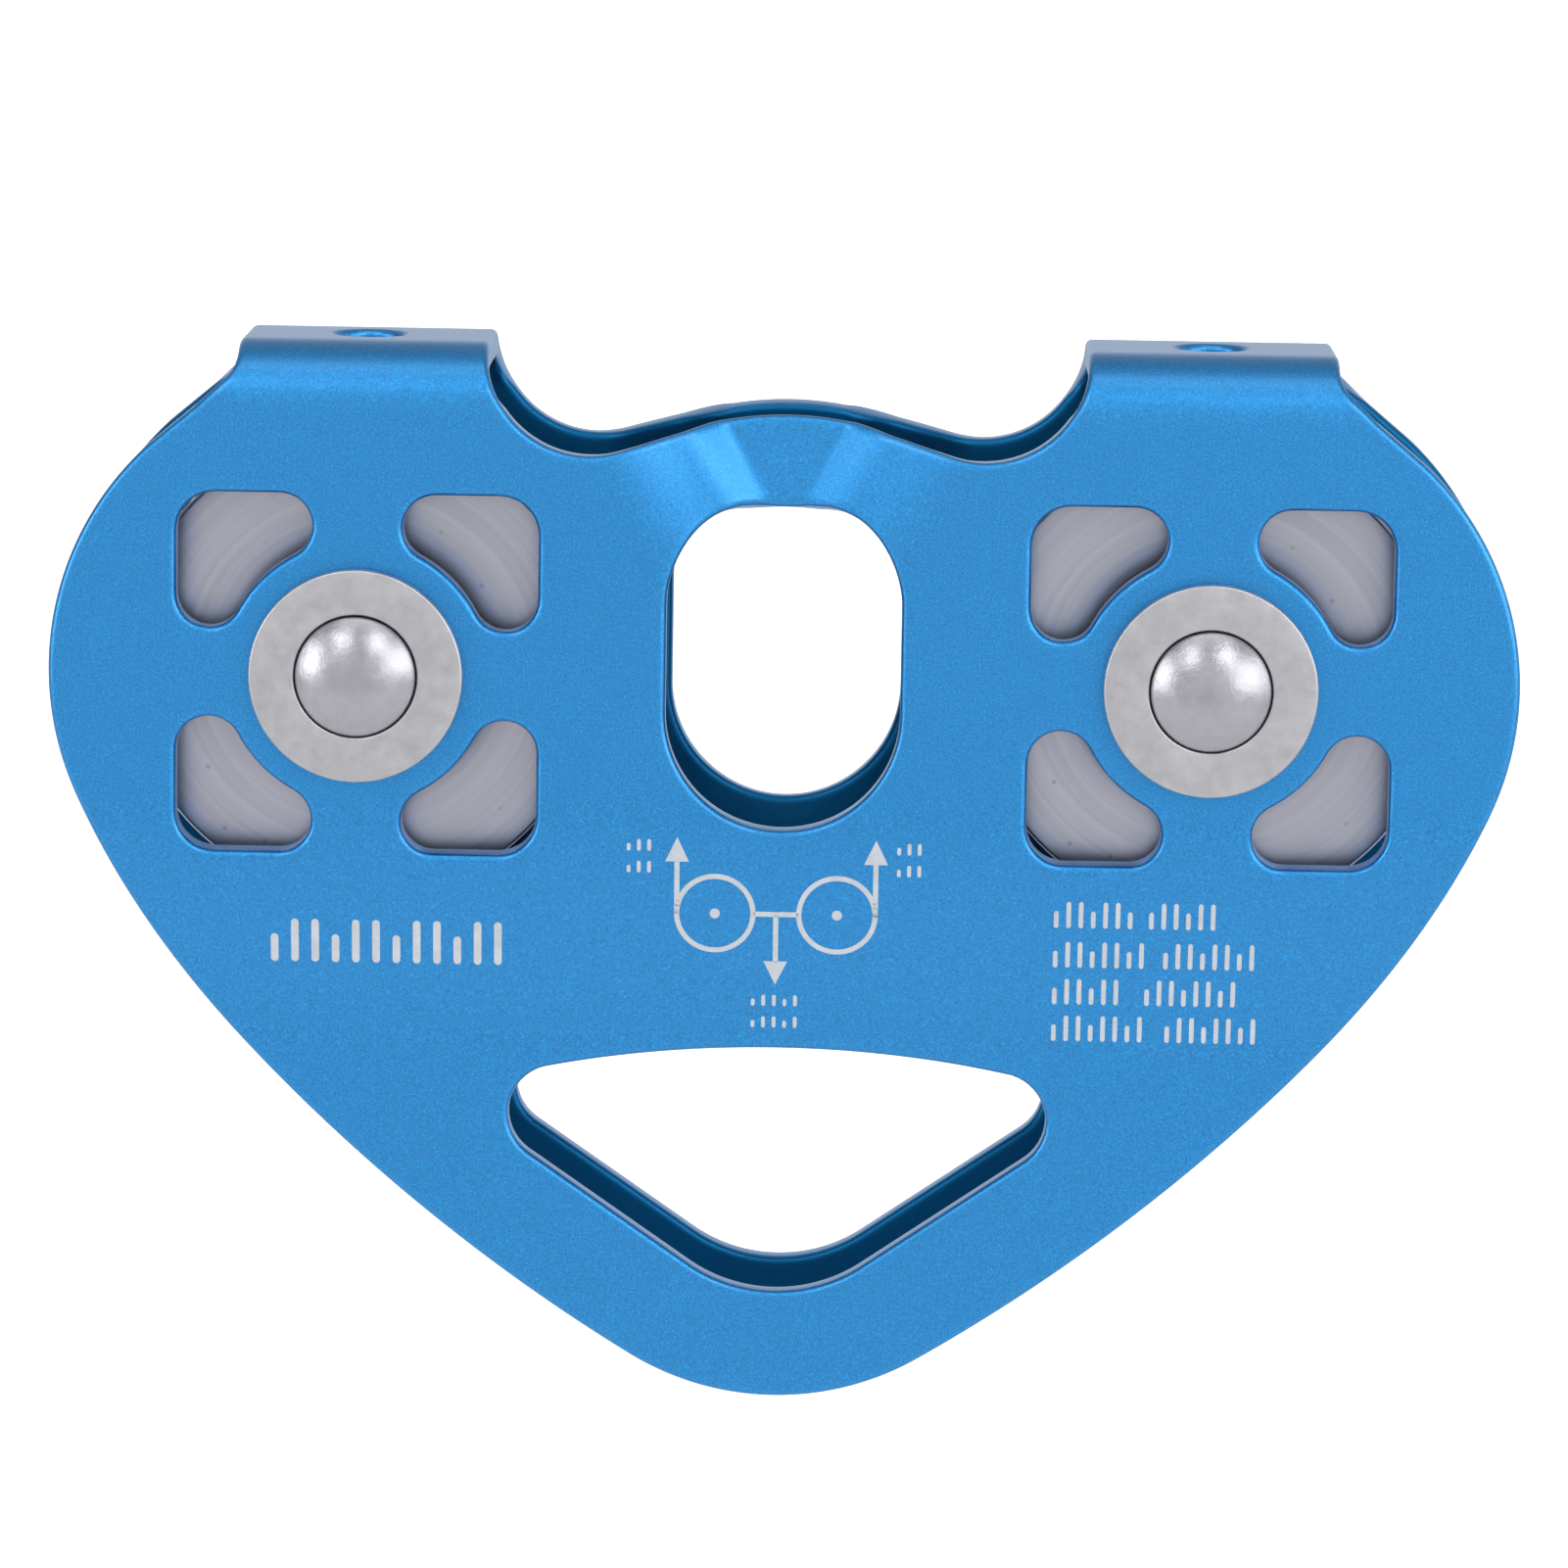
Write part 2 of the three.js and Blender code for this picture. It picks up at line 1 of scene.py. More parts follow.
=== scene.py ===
"""Looks of a tandem rope pulley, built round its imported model.

One aluminium sheet is cut out, folded over and pressed into the frame, and anodised blue. Two steel sheaves
turn on ball bearings between its plates, and a riveted axle with a ring washer on each side holds each one.
Working sizes are in millimetres, with heights measured from the line through both axles. Each finished mesh
is put in metres in the shared frame, whose origin is on the rope's centre line, midway between the sheaves.
"""

import logging
import math
from dataclasses import dataclass
from enum import Enum

import bpy
import numpy as np
from mathutils import Matrix, Vector
from mathutils.geometry import delaunay_2d_cdt
from mathutils.kdtree import KDTree


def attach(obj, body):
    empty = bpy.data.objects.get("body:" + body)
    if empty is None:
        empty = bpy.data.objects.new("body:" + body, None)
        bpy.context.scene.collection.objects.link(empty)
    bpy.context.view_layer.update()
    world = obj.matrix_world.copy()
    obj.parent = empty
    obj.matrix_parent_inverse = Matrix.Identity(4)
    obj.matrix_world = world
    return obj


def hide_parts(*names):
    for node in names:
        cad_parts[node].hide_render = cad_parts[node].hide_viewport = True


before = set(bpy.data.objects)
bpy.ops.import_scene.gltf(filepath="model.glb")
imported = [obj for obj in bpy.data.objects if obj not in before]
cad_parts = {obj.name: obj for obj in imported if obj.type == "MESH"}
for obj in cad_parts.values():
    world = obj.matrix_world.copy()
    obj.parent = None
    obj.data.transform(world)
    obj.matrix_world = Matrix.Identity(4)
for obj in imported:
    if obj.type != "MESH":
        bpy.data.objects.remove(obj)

LOG = logging.getLogger("rope_pulley")
MM = 0.001
AXLE_X = 50.0
ROPE_RISE = 27.0
SAME_PLACE = 1e-7
FRAME_BODY = "frame_body"


class Hand(Enum):
    """Which sheave a piece belongs to; the value is the sign of its x."""

    LEFT = -1
    RIGHT = 1

    @property
    def word(self) -> str:
        """The word that starts the names of this hand's pieces."""
        return self.name.lower()

    @property
    def axle(self) -> Vector:
        """The middle of this hand's axle, in metres."""
        return Vector((self.value * AXLE_X, 0.0, -ROPE_RISE)) * MM


class Face(Enum):
    """Which face of the pulley a piece is on; the value is the sign of its y."""

    FRONT = -1
    REAR = 1

    @property
    def word(self) -> str:
        """The word for this face in the names of pieces."""
        return self.name.lower()


# ------------------------------------------------------------------ bench tools


def deselect() -> None:
    """Deselects every object."""
    bpy.ops.object.select_all(action="DESELECT")


def only(piece: bpy.types.Object) -> None:
    """Selects one object and makes it active.

    Args:
        piece: the object to work on.
    """
    deselect()
    piece.select_set(True)
    bpy.context.view_layer.objects.active = piece


def mesh_object(name: str, points: np.ndarray | list, edges: list, faces: list) -> bpy.types.Object:
    """Makes an object from plain mesh data.

    Args:
        name: the object's name.
        points: rows of x, y and z.
        edges: pairs of point numbers, where there are no faces.
        faces: tuples of point numbers.

    Returns:
        The new object, linked to the scene.
    """
    mesh = bpy.data.meshes.new(name)
    mesh.from_pydata([tuple(p) for p in points], edges, faces)
    mesh.update()
    piece = bpy.data.objects.new(name, mesh)
    bpy.context.scene.collection.objects.link(piece)
    return piece


def bevel_edges(piece: bpy.types.Object, width: float, segments: int = 3, angle: float = 24.0) -> None:
    """Rounds every edge sharper than an angle, with a Bevel modifier that is applied.

    Args:
        piece: the object to round.
        width: width of the bevel, in metres.
        segments: how many faces cross the bevel.
        angle: the least angle between faces, in degrees, that is rounded.
    """
    only(piece)
    bevel = piece.modifiers.new("Rounded edges", "BEVEL")
    bevel.width = width
    bevel.segments = segments
    bevel.limit_method = "ANGLE"
    bevel.angle_limit = math.radians(angle)
    bpy.ops.object.modifier_apply(modifier=bevel.name)


def smooth_shading(piece: bpy.types.Object, angle: float = 35.0) -> None:
    """Shades the piece smooth, apart from edges sharper than an angle in degrees.

    Args:
        piece: the object to shade.
        angle: the angle, in degrees.
    """
    only(piece)
    bpy.ops.object.shade_smooth_by_angle(angle=math.radians(angle))
    deselect()


def face_outwards(piece: bpy.types.Object) -> None:
    """Turns every face of a closed mesh outwards.

    Args:
        piece: the object to work on.
    """
    only(piece)
    bpy.ops.object.mode_set(mode="EDIT")
    bpy.ops.mesh.select_all(action="SELECT")
    bpy.ops.mesh.normals_make_consistent(inside=False)
    bpy.ops.object.mode_set(mode="OBJECT")


def thicken(piece: bpy.types.Object, offset: tuple[float, float, float]) -> None:
    """Extrudes a flat mesh into a closed solid.

    Args:
        piece: the flat object.
        offset: how far its other side is from it, in its own units.
    """
    only(piece)
    bpy.ops.object.mode_set(mode="EDIT")
    bpy.ops.mesh.select_all(action="SELECT")
    bpy.ops.mesh.extrude_region_move(TRANSFORM_OT_translate={"value": offset})
    bpy.ops.object.mode_set(mode="OBJECT")
    face_outwards(piece)


def turned(name: str, section: list[tuple[float, float]], steps: int,
           closed: bool = True) -> bpy.types.Object:
    """Spins a section round the Y axis.

    Args:
        name: the object's name.
        section: radius and y of each corner, in millimetres.
        steps: how many steps make the full turn.
        closed: False for a section whose two ends lie on the axis.

    Returns:
        The turned object, in metres, centred on the origin.
    """
    points = [(radius * MM, y * MM, 0.0) for radius, y in section]
    count = len(points)
    edges = [(i, (i + 1) % count) for i in range(count if closed else count - 1)]
    piece = mesh_object(name, points, edges, [])
    only(piece)
    bpy.ops.object.mode_set(mode="EDIT")
    bpy.ops.mesh.select_all(action="SELECT")
    bpy.ops.mesh.spin(steps=steps, angle=2 * math.pi, center=(0, 0, 0), axis=(0, 1, 0))
    bpy.ops.mesh.select_all(action="SELECT")
    bpy.ops.mesh.remove_doubles(threshold=SAME_PLACE)
    bpy.ops.object.mode_set(mode="OBJECT")
    face_outwards(piece)
    return piece


def arc(x: float, y: float, radius: float, start: float, end: float,
        step: float) -> list[tuple[float, float]]:
    """Points along an arc, ends included.

    Args:
        x: centre.
        y: centre.
        radius: the arc's radius.
        start: first angle in degrees.
        end: last angle in degrees, larger than start for a counter-clockwise arc.
        step: the longest distance from point to point.

    Returns:
        The points as pairs.
    """
    turn = math.radians(end - start)
    count = max(2, math.ceil(abs(turn) * radius / step))
    angles = [math.radians(start) + turn * i / count for i in range(count + 1)]
    return [(x + radius * math.cos(a), y + radius * math.sin(a)) for a in angles]


def smooth_step(value: np.ndarray) -> np.ndarray:
    """Eases from 0 to 1, level at both ends."""
    t = np.clip(value, 0.0, 1.0)
    return t * t * (3.0 - 2.0 * t)


# ---------------------------------------------------------------- shader tools


class Graph:
    """Adds nodes to one node tree, and links them, in short lines."""

    def __init__(self, tree: bpy.types.NodeTree) -> None:
        """Starts from an empty tree.

        Args:
            tree: the node tree to fill; what it holds is cleared.
        """
        self.tree = tree
        tree.nodes.clear()

    def add(self, kind: str, inputs: dict | None = None, **settings: object) -> bpy.types.Node:
        """Adds one node.

        Args:
            kind: the node's type, without the ShaderNode that Blender puts before it.
            inputs: socket name or number to a value or to another node's output socket.
            **settings: the node's own properties.

        Returns:
            The new node.
        """
        name = kind if kind.startswith("NodeGroup") else "ShaderNode" + kind
        node = self.tree.nodes.new(name)
        for key, value in settings.items():
            setattr(node, key, value)
        for key, value in (inputs or {}).items():
            self.feed(node.inputs[key], value)
        return node

    def feed(self, socket: bpy.types.NodeSocket, value: object) -> None:
        """Links a socket to an output, or sets its value.

        Args:
            socket: the input socket.
            value: an output socket or a plain value.
        """
        if isinstance(value, bpy.types.NodeSocket):
            self.tree.links.new(value, socket)
        else:
            socket.default_value = value

    def math(self, operation: str, *values: object) -> bpy.types.NodeSocket:
        """Adds a Math node.

        Args:
            operation: the node's operation.
            *values: numbers or output sockets, in order.

        Returns:
            The result's socket.
        """
        return self.add("Math", dict(enumerate(values)), operation=operation).outputs[0]

    def blend(self, amount: object, first: object, second: object) -> bpy.types.NodeSocket:
        """Blends two colours.

        Args:
            amount: number or socket, 0 for the first colour and 1 for the second.
            first: colour or socket.
            second: colour or socket.

        Returns:
            The blended colour's socket.
        """
        return self.add("Mix", {0: amount, 6: first, 7: second}, data_type="RGBA").outputs[2]

    def stretch(self, value: object, low: float, high: float) -> bpy.types.NodeSocket:
        """Turns the part of a value between two limits into 0 to 1, and clamps it.

        Args:
            value: the socket to stretch.
            low: the value that becomes 0.
            high: the value that becomes 1.

        Returns:
            The stretched value's socket.
        """
        return self.add("MapRange", {0: value, 1: low, 2: high}, clamp=True).outputs[0]


def empty_group(name: str, numbers: dict[str, float],
                outputs: list[str]) -> tuple[Graph, bpy.types.Node, bpy.types.Node]:
    """Makes a shader node group with a Vector input, number inputs and number outputs.

    Args:
        name: the group's name.
        numbers: name to default value of each number input.
        outputs: names of the number outputs.

    Returns:
        The group's graph, its input node and its output node.
    """
    tree = bpy.data.node_groups.new(name, "ShaderNodeTree")
    tree.interface.new_socket("Vector", in_out="INPUT", socket_type="NodeSocketVector")
    for label, default in numbers.items():
        socket = tree.interface.new_socket(label, in_out="INPUT", socket_type="NodeSocketFloat")
        socket.default_value = default
    for label in outputs:
        tree.interface.new_socket(label, in_out="OUTPUT", socket_type="NodeSocketFloat")
    graph = Graph(tree)
    return graph, graph.add("NodeGroupInput"), graph.add("NodeGroupOutput")


class Effects:
    """The surface effects that several finishes share, each a node group made once."""

    def __init__(self) -> None:
        """Builds every group."""
        self.blasted = self._blasted()
        self.turned = self._turned()
        self.hairlines = self._hairlines()

    @staticmethod
    def _blasted() -> bpy.types.NodeTree:
        """Blasted metal: fine pits, a soft cloudy tone and scattered bright specks.

        Returns:
            The group's node tree.
        """
        graph, source, sink = empty_group(
            "Blasted grain", {"Grain": 4200.0, "Cloud": 240.0}, ["Height", "Tone", "Specks"])
        fine = graph.add("TexNoise", {"Vector": source.outputs["Vector"], "Scale": source.outputs["Grain"],
                                      "Detail": 2.0, "Roughness": 0.65})
        cloud = graph.add("TexNoise", {"Vector": source.outputs["Vector"], "Scale": source.outputs["Cloud"],
                                       "Detail": 4.0, "Roughness": 0.65})
        graph.feed(sink.inputs["Height"], fine.outputs["Fac"])
        graph.feed(sink.inputs["Tone"], cloud.outputs["Fac"])
        graph.feed(sink.inputs["Specks"], graph.stretch(fine.outputs["Fac"], 0.62, 0.78))
        return graph.tree

    @staticmethod
    def _turned() -> bpy.types.NodeTree:
        """Lathe marks round the Y axis: fine rings broken into arcs, and broader bands of tone.

        Returns:
            The group's node tree.
        """
        graph, source, sink = empty_group("Turned marks", {"Rings": 9000.0, "Arcs": 2.5}, ["Height", "Tone"])
        x, y, z = graph.add("SeparateXYZ", {0: source.outputs["Vector"]}).outputs
        square = graph.math("ADD", graph.math("MULTIPLY", x, x), graph.math("MULTIPLY", z, z))
        radius = graph.math("MAXIMUM", graph.math("SQRT", square), 1e-5)
        across = graph.math("MULTIPLY", graph.math("ADD", radius, y), source.outputs["Rings"])
        turn_x = graph.math("MULTIPLY", graph.math("DIVIDE", x, radius), source.outputs["Arcs"])
        turn_z = graph.math("MULTIPLY", graph.math("DIVIDE", z, radius), source.outputs["Arcs"])
        place = graph.add("CombineXYZ", {0: across, 1: turn_x, 2: turn_z}).outputs[0]
        fine = graph.add("TexNoise", {"Vector": place, "Scale": 1.0, "Detail": 3.0, "Roughness": 0.6})
        broad = graph.add("TexNoise", {"Vector": place, "Scale": 0.17, "Detail": 2.0, "Roughness": 0.5})
        graph.feed(sink.inputs["Height"], fine.outputs["Fac"])
        graph.feed(sink.inputs["Tone"], broad.outputs["Fac"])
        return graph.tree

    @staticmethod
    def _hairlines() -> bpy.types.NodeTree:
        """Handled metal: thin scratches in two directions and a few dark specks.

        Returns:
            The group's node tree.
        """
        graph, source, sink = empty_group("Hairlines", {"Density": 260.0}, ["Scratches", "Specks"])
        lines = []
        for turn, shift in ((0.6, 0.0), (2.2, 7.3)):
            mapped = graph.add("Mapping", {"Vector": source.outputs["Vector"], "Rotation": (0.0, turn, 0.0),
                                           "Location": (shift, 0.0, shift), "Scale": (0.05, 1.0, 1.0)})
            noise = graph.add("TexNoise", {"Vector": mapped.outputs[0], "Scale": source.outputs["Density"],
                                           "Detail": 6.0, "Roughness": 0.75})
            lines.append(graph.stretch(noise.outputs["Fac"], 0.66, 0.74))
        graph.feed(sink.inputs["Scratches"], graph.math("MAXIMUM", *lines))
        dots = graph.add("TexVoronoi", {"Vector": source.outputs["Vector"],
                                        "Scale": source.outputs["Density"]})
        graph.feed(sink.inputs["Specks"], graph.stretch(dots.outputs["Distance"], 0.10, 0.05))
        return graph.tree


@dataclass(frozen=True)
class Finish:
    """What every finish has: its name, its colour and how it reflects."""

    name: str
    color: tuple[float, float, float]
    roughness: float
    metallic: float = 1.0
    roughness_spread: float = 0.2

    def material(self, effects: Effects) -> bpy.types.Material:
        """Makes the material, a Principled shader that the finish paints in its own way.

        Args:
            effects: the shared effect groups.

        Returns:
            The finished material.
        """
        material = bpy.data.materials.new(self.name)
        material.use_nodes = True
        graph = Graph(material.node_tree)
        shader = graph.add("BsdfPrincipled", {"Base Color": (*self.color, 1.0), "Metallic": self.metallic,
                                              "Roughness": self.roughness})
        graph.add("OutputMaterial", {0: shader.outputs[0]})
        self.paint(graph, shader, graph.add("TexCoord").outputs["Object"], effects)
        return material

    def paint(self, graph: Graph, shader: bpy.types.Node, place: bpy.types.NodeSocket,
              effects: Effects) -> None:
        """Gives the shader this finish's colour, roughness and relief.

        Args:
            graph: the material's graph.
            shader: its Principled shader.
            place: the Object coordinate socket.
            effects: the shared effect groups.
        """
        raise NotImplementedError

    def toned(self, factor: float) -> tuple[float, float, float, float]:
        """The finish's colour made darker or lighter, with its alpha.

        Args:
            factor: what the colour is multiplied by.

        Returns:
            The new colour.
        """
        return (*(min(1.0, part * factor) for part in self.color), 1.0)

    def touch(self, graph: Graph, base: bpy.types.NodeSocket, mask: bpy.types.NodeSocket, strength: float,
              factor: float) -> bpy.types.NodeSocket:
        """Lays a tone of the colour over a base colour where a mask is high.

        Args:
            graph: the material's graph.
            base: socket of the colour below.
            mask: socket that is 1 where the tone shows most.
            strength: how much of the tone shows there.
            factor: factor of the tone.

        Returns:
            The new colour's socket.
        """
        return graph.blend(graph.math("MULTIPLY", mask, strength), base, self.toned(factor))

    def texture(self, graph: Graph, shader: bpy.types.Node, tone: bpy.types.NodeSocket,
                height: bpy.types.NodeSocket, depth: float, strength: float = 1.0) -> None:
        """Varies the roughness evenly about its middle, and adds relief.

        Args:
            graph: the material's graph.
            shader: its Principled shader.
            tone: socket from 0 where it is smoothest to 1 where it is roughest.
            height: socket of the relief's height.
            depth: depth of the relief, in metres.
            strength: how strongly the relief shows.
        """
        smoothest = self.roughness - self.roughness_spread / 2
        rough = graph.math("MULTIPLY_ADD", tone, self.roughness_spread, smoothest)
        graph.feed(shader.inputs["Roughness"], rough)
        bump = graph.add("Bump", {"Height": height, "Distance": depth, "Strength": strength})
        graph.feed(shader.inputs["Normal"], bump.outputs[0])


@dataclass(frozen=True)
class BlueAnodised(Finish):
    """Satin blue anodising on blasted aluminium."""

    roughness_spread: float = 0.16
    coat: float = 0.85
    coat_roughness: float = 0.3
    # painted shade: how much of the coat the inner faces lose, which dims their reflection
    inner_shade_coat_loss: float = 0.9
    contrast: float = 0.3
    # painted shade: what the colour of the inner faces is multiplied by
    inner_tone: float = 0.45
    pit_depth: float = 0.000018

    def paint(self, graph: Graph, shader: bpy.types.Node, place: bpy.types.NodeSocket,
              effects: Effects) -> None:
        """Paints a grainy blue, with painted shade on the inner faces of the sheet: darker there and with
        less coat.

        Args:
            graph: the material's graph.
            shader: its Principled shader.
            place: the Object coordinate socket.
            effects: the shared effect groups.
        """
        shader.inputs["Coat Roughness"].default_value = self.coat_roughness
        grain = graph.add("Group", {"Vector": place}, node_tree=effects.blasted).outputs
        sparkle = graph.stretch(grain["Height"], 0.32, 0.68)
        cloud = graph.stretch(grain["Tone"], 0.3, 0.7)
        body = graph.blend(sparkle, self.toned(1.0 - self.contrast), self.toned(1.0 + self.contrast))
        dulled = self.touch(graph, body, cloud, 0.3, 0.9)
        outside = self.touch(graph, dulled, grain["Specks"], 0.5, 2.0)
        # Painted shade: the inner faces, in the shadowed gap between the plates, get a darker blue and less
        # coat.
        inner = graph.add("Attribute", attribute_name="inner").outputs["Fac"]
        graph.feed(shader.inputs["Base Color"], graph.blend(inner, outside, self.toned(self.inner_tone)))
        coat = graph.math("MULTIPLY_ADD", inner, -self.inner_shade_coat_loss * self.coat, self.coat)
        graph.feed(shader.inputs["Coat Weight"], coat)
        self.texture(graph, shader, grain["Height"], grain["Height"], self.pit_depth)


@dataclass(frozen=True)
class TurnedSteel(Finish):
    """Steel turned on a lathe, with fine rings centred on one axle."""

    centre: Vector = Vector((0.0, 0.0, 0.0))
    ring_depth: float = 0.000004

    def paint(self, graph: Graph, shader: bpy.types.Node, place: bpy.types.NodeSocket,
              effects: Effects) -> None:
        """Paints rings of tone, a few dark specks and faint scratches.

        Args:
            graph: the material's graph.
            shader: its Principled shader.
            place: the Object coordinate socket.
            effects: the shared effect groups.
        """
        centred = graph.add("Mapping", {"Vector": place, "Location": tuple(-self.centre)}).outputs[0]
        marks = graph.add("Group", {"Vector": centred}, node_tree=effects.turned).outputs
        wear = graph.add("Group", {"Vector": centred}, node_tree=effects.hairlines).outputs
        tone = graph.stretch(marks["Tone"], 0.3, 0.7)
        body = graph.blend(tone, self.toned(0.92), self.toned(1.05))
        dotted = self.touch(graph, body, wear["Specks"], 0.5, 0.45)
        scratched = self.touch(graph, dotted, wear["Scratches"], 0.25, 1.25)
        graph.feed(shader.inputs["Base Color"], scratched)
        self.texture(graph, shader, marks["Height"], marks["Height"], self.ring_depth)


@dataclass(frozen=True)
class TumbledSteel(Finish):
    """Steel tumbled to an even satin, with a soft grain and faint scratches."""

    grain: float = 1800.0
    cloud: float = 500.0
    contrast: float = 0.09
    pit_depth: float = 0.000006

    def paint(self, graph: Graph, shader: bpy.types.Node, place: bpy.types.NodeSocket,
              effects: Effects) -> None:
        """Paints a cloudy tone and faint scratches.

        Args:
            graph: the material's graph.
            shader: its Principled shader.
            place: the Object coordinate socket.
            effects: the shared effect groups.
        """
        scales = {"Vector": place, "Grain": self.grain, "Cloud": self.cloud}
        grain = graph.add("Group", scales, node_tree=effects.blasted).outputs
        wear = graph.add("Group", {"Vector": place}, node_tree=effects.hairlines).outputs
        tone = graph.stretch(grain["Tone"], 0.3, 0.7)
        body = graph.blend(tone, self.toned(1.0 - self.contrast), self.toned(1.0 + self.contrast))
        scratched = self.touch(graph, body, wear["Scratches"], 0.2, 1.2)
        graph.feed(shader.inputs["Base Color"], scratched)
        self.texture(graph, shader, grain["Tone"], grain["Height"], self.pit_depth)


@dataclass(frozen=True)
class PressedRivet(Finish):
    """The bright dome of a rivet head, smooth but slightly hammered near its top."""

    grain: float = 1500.0
    cloud: float = 700.0
    dent_depth: float = 0.00012
    dent_strength: float = 0.5

    def paint(self, graph: Graph, shader: bpy.types.Node, place: bpy.types.NodeSocket,
              effects: Effects) -> None:
        """Paints a faint tone over shallow dents.

        Args:
            graph: the material's graph.
            shader: its Principled shader.
            place: the Object coordinate socket.
            effects: the shared effect groups.
        """
        scales = {"Vector": place, "Grain": self.grain, "Cloud": self.cloud}
        grain = graph.add("Group", scales, node_tree=effects.blasted).outputs
        tone = graph.stretch(grain["Tone"], 0.35, 0.65)
        graph.feed(shader.inputs["Base Color"], graph.blend(tone, self.toned(0.95), self.toned(1.04)))
        dents = graph.math("MULTIPLY_ADD", grain["Height"], 0.15, grain["Tone"])
        self.texture(graph, shader, grain["Tone"], dents, self.dent_depth, self.dent_strength)


# ----------------------------------------------------------------------- frame


@dataclass(frozen=True)
class PressedSheet:
    """Where each point of the flat blank lies once the sheet is folded and pressed.

    The blank's first coordinate is x. The second, called along, is the distance along the sheet from the
    middle of its top, negative towards the front. The third, called through, is the distance out from its
    middle.
    """

    thickness: float = 3.4
    half_width: float = 14.5
    top: float = 38.7
    half_flat: float = 7.2
    pinch_depth: float = 5.05
    pinch_lean: float = 0.126
    pinch_top: float = 30.7
    pinch_knee: float = 20.5
    crease_spread: float = 0.577
    step_start: float = 1.5
    step_width: float = 6.5
    step_share: float = 0.42
    ramp_start: float = 5.0
    ramp_width: float = 14.5
    close_depth: float = 3.5
    close_start: float = -14.0
    close_end: float = -46.0

    @property
    def half_thickness(self) -> float:
        """Half of the sheet's thickness."""
        return self.thickness / 2

    @property
    def middle_y(self) -> float:
        """How far the middle of each plate is from the middle plane, before it is pressed."""
        return self.half_width - self.half_thickness

    @property
    def outer_bend(self) -> float:
        """Radius of the outside of each bend."""
        return self.half_width - self.half_flat

    @property
    def bend_z(self) -> float:
        """Height at which the bends end and the plates start."""
        return self.top - self.outer_bend

    @property
    def middle_bend(self) -> float:
        """Radius of the middle of the sheet in each bend."""
        return self.outer_bend - self.half_thickness

    @property
    def plate_start(self) -> float:
        """Distance along the sheet from the middle of the top to the end of a bend."""
        return self.half_flat + self.middle_bend * math.pi / 2

    def along(self, z: np.ndarray) -> np.ndarray:
        """Distance along the sheet to where its outside is at a height.

        Args:
            z: heights above the axles.

        Returns:
            The distances, all positive.
        """
        cosine = np.clip((z - self.bend_z) / self.outer_bend, 0.0, 1.0)
        in_bend = self.half_flat + self.middle_bend * np.arccos(cosine)
        return np.where(z < self.bend_z, self.plate_start + self.bend_z - z, in_bend)

    def fold(self, blank: np.ndarray) -> np.ndarray:
        """Folds the blank into an upside-down U.

        Args:
            blank: rows of x, along and through.

        Returns:
            Rows of x, y and z.
        """
        x, along, through = blank.T
        distance = np.abs(along)
        angle = np.clip((distance - self.half_flat) / self.middle_bend, 0.0, math.pi / 2)
        radius = self.middle_bend + through
        y = np.minimum(distance, self.half_flat) + radius * np.sin(angle)
        fall = np.maximum(distance - self.plate_start, 0.0)
        z = self.bend_z + radius * np.cos(angle) - fall
        return np.column_stack([x, np.sign(along) * y, z])

    def press_depth(self, x: np.ndarray, z: np.ndarray) -> np.ndarray:
        """How far a plate is pressed in at a place: leaning in at the middle of its top, and closing below.

        Args:
            x: distances from the middle of the frame.
            z: heights above the axles.

        Returns:
            The depths.
        """
        from_crease = np.abs(x) - self.crease_spread * (z - self.pinch_knee)
        step = self.step_share * smooth_step((from_crease - self.step_start) / self.step_width)
        ramp = (1.0 - self.step_share) * smooth_step((from_crease - self.ramp_start) / self.ramp_width)
        pinch = (self.pinch_depth - self.pinch_lean * (self.pinch_top - z)) * (1.0 - step - ramp)
        closing = smooth_step((self.close_start - z) / (self.close_start - self.close_end))
        return pinch + self.close_depth * closing

    def press(self, folded: np.ndarray) -> np.ndarray:
        """Presses the folded sheet, keeping its thickness.

        Args:
            folded: rows of x, y and z.

        Returns:
            The pressed rows.
        """
        x, y, z = folded.T
        half_span = 0.01
        depth = self.press_depth(x, z)
        slope_x = (self.press_depth(x + half_span, z) - self.press_depth(x - half_span, z)) / (2 * half_span)
        slope_z = (self.press_depth(x, z + half_span) - self.press_depth(x, z - half_span)) / (2 * half_span)
        through = (self.middle_y - np.abs(y)) / np.sqrt(slope_x**2 + 1.0 + slope_z**2)
        pressed_y = np.sign(y) * (self.middle_y - depth - through)
        return np.column_stack([x - slope_x * through, pressed_y, z - slope_z * through])

    def place(self, blank: np.ndarray) -> np.ndarray:
        """Takes points of the blank to their place in the shared frame.

        Args:
            blank: rows of x, along and through, in millimetres.

        Returns:
            Rows of x, y and z, in metres.
        """
        shaped = self.press(self.fold(blank))
        shaped[:, 2] -= ROPE_RISE
        return shaped * MM


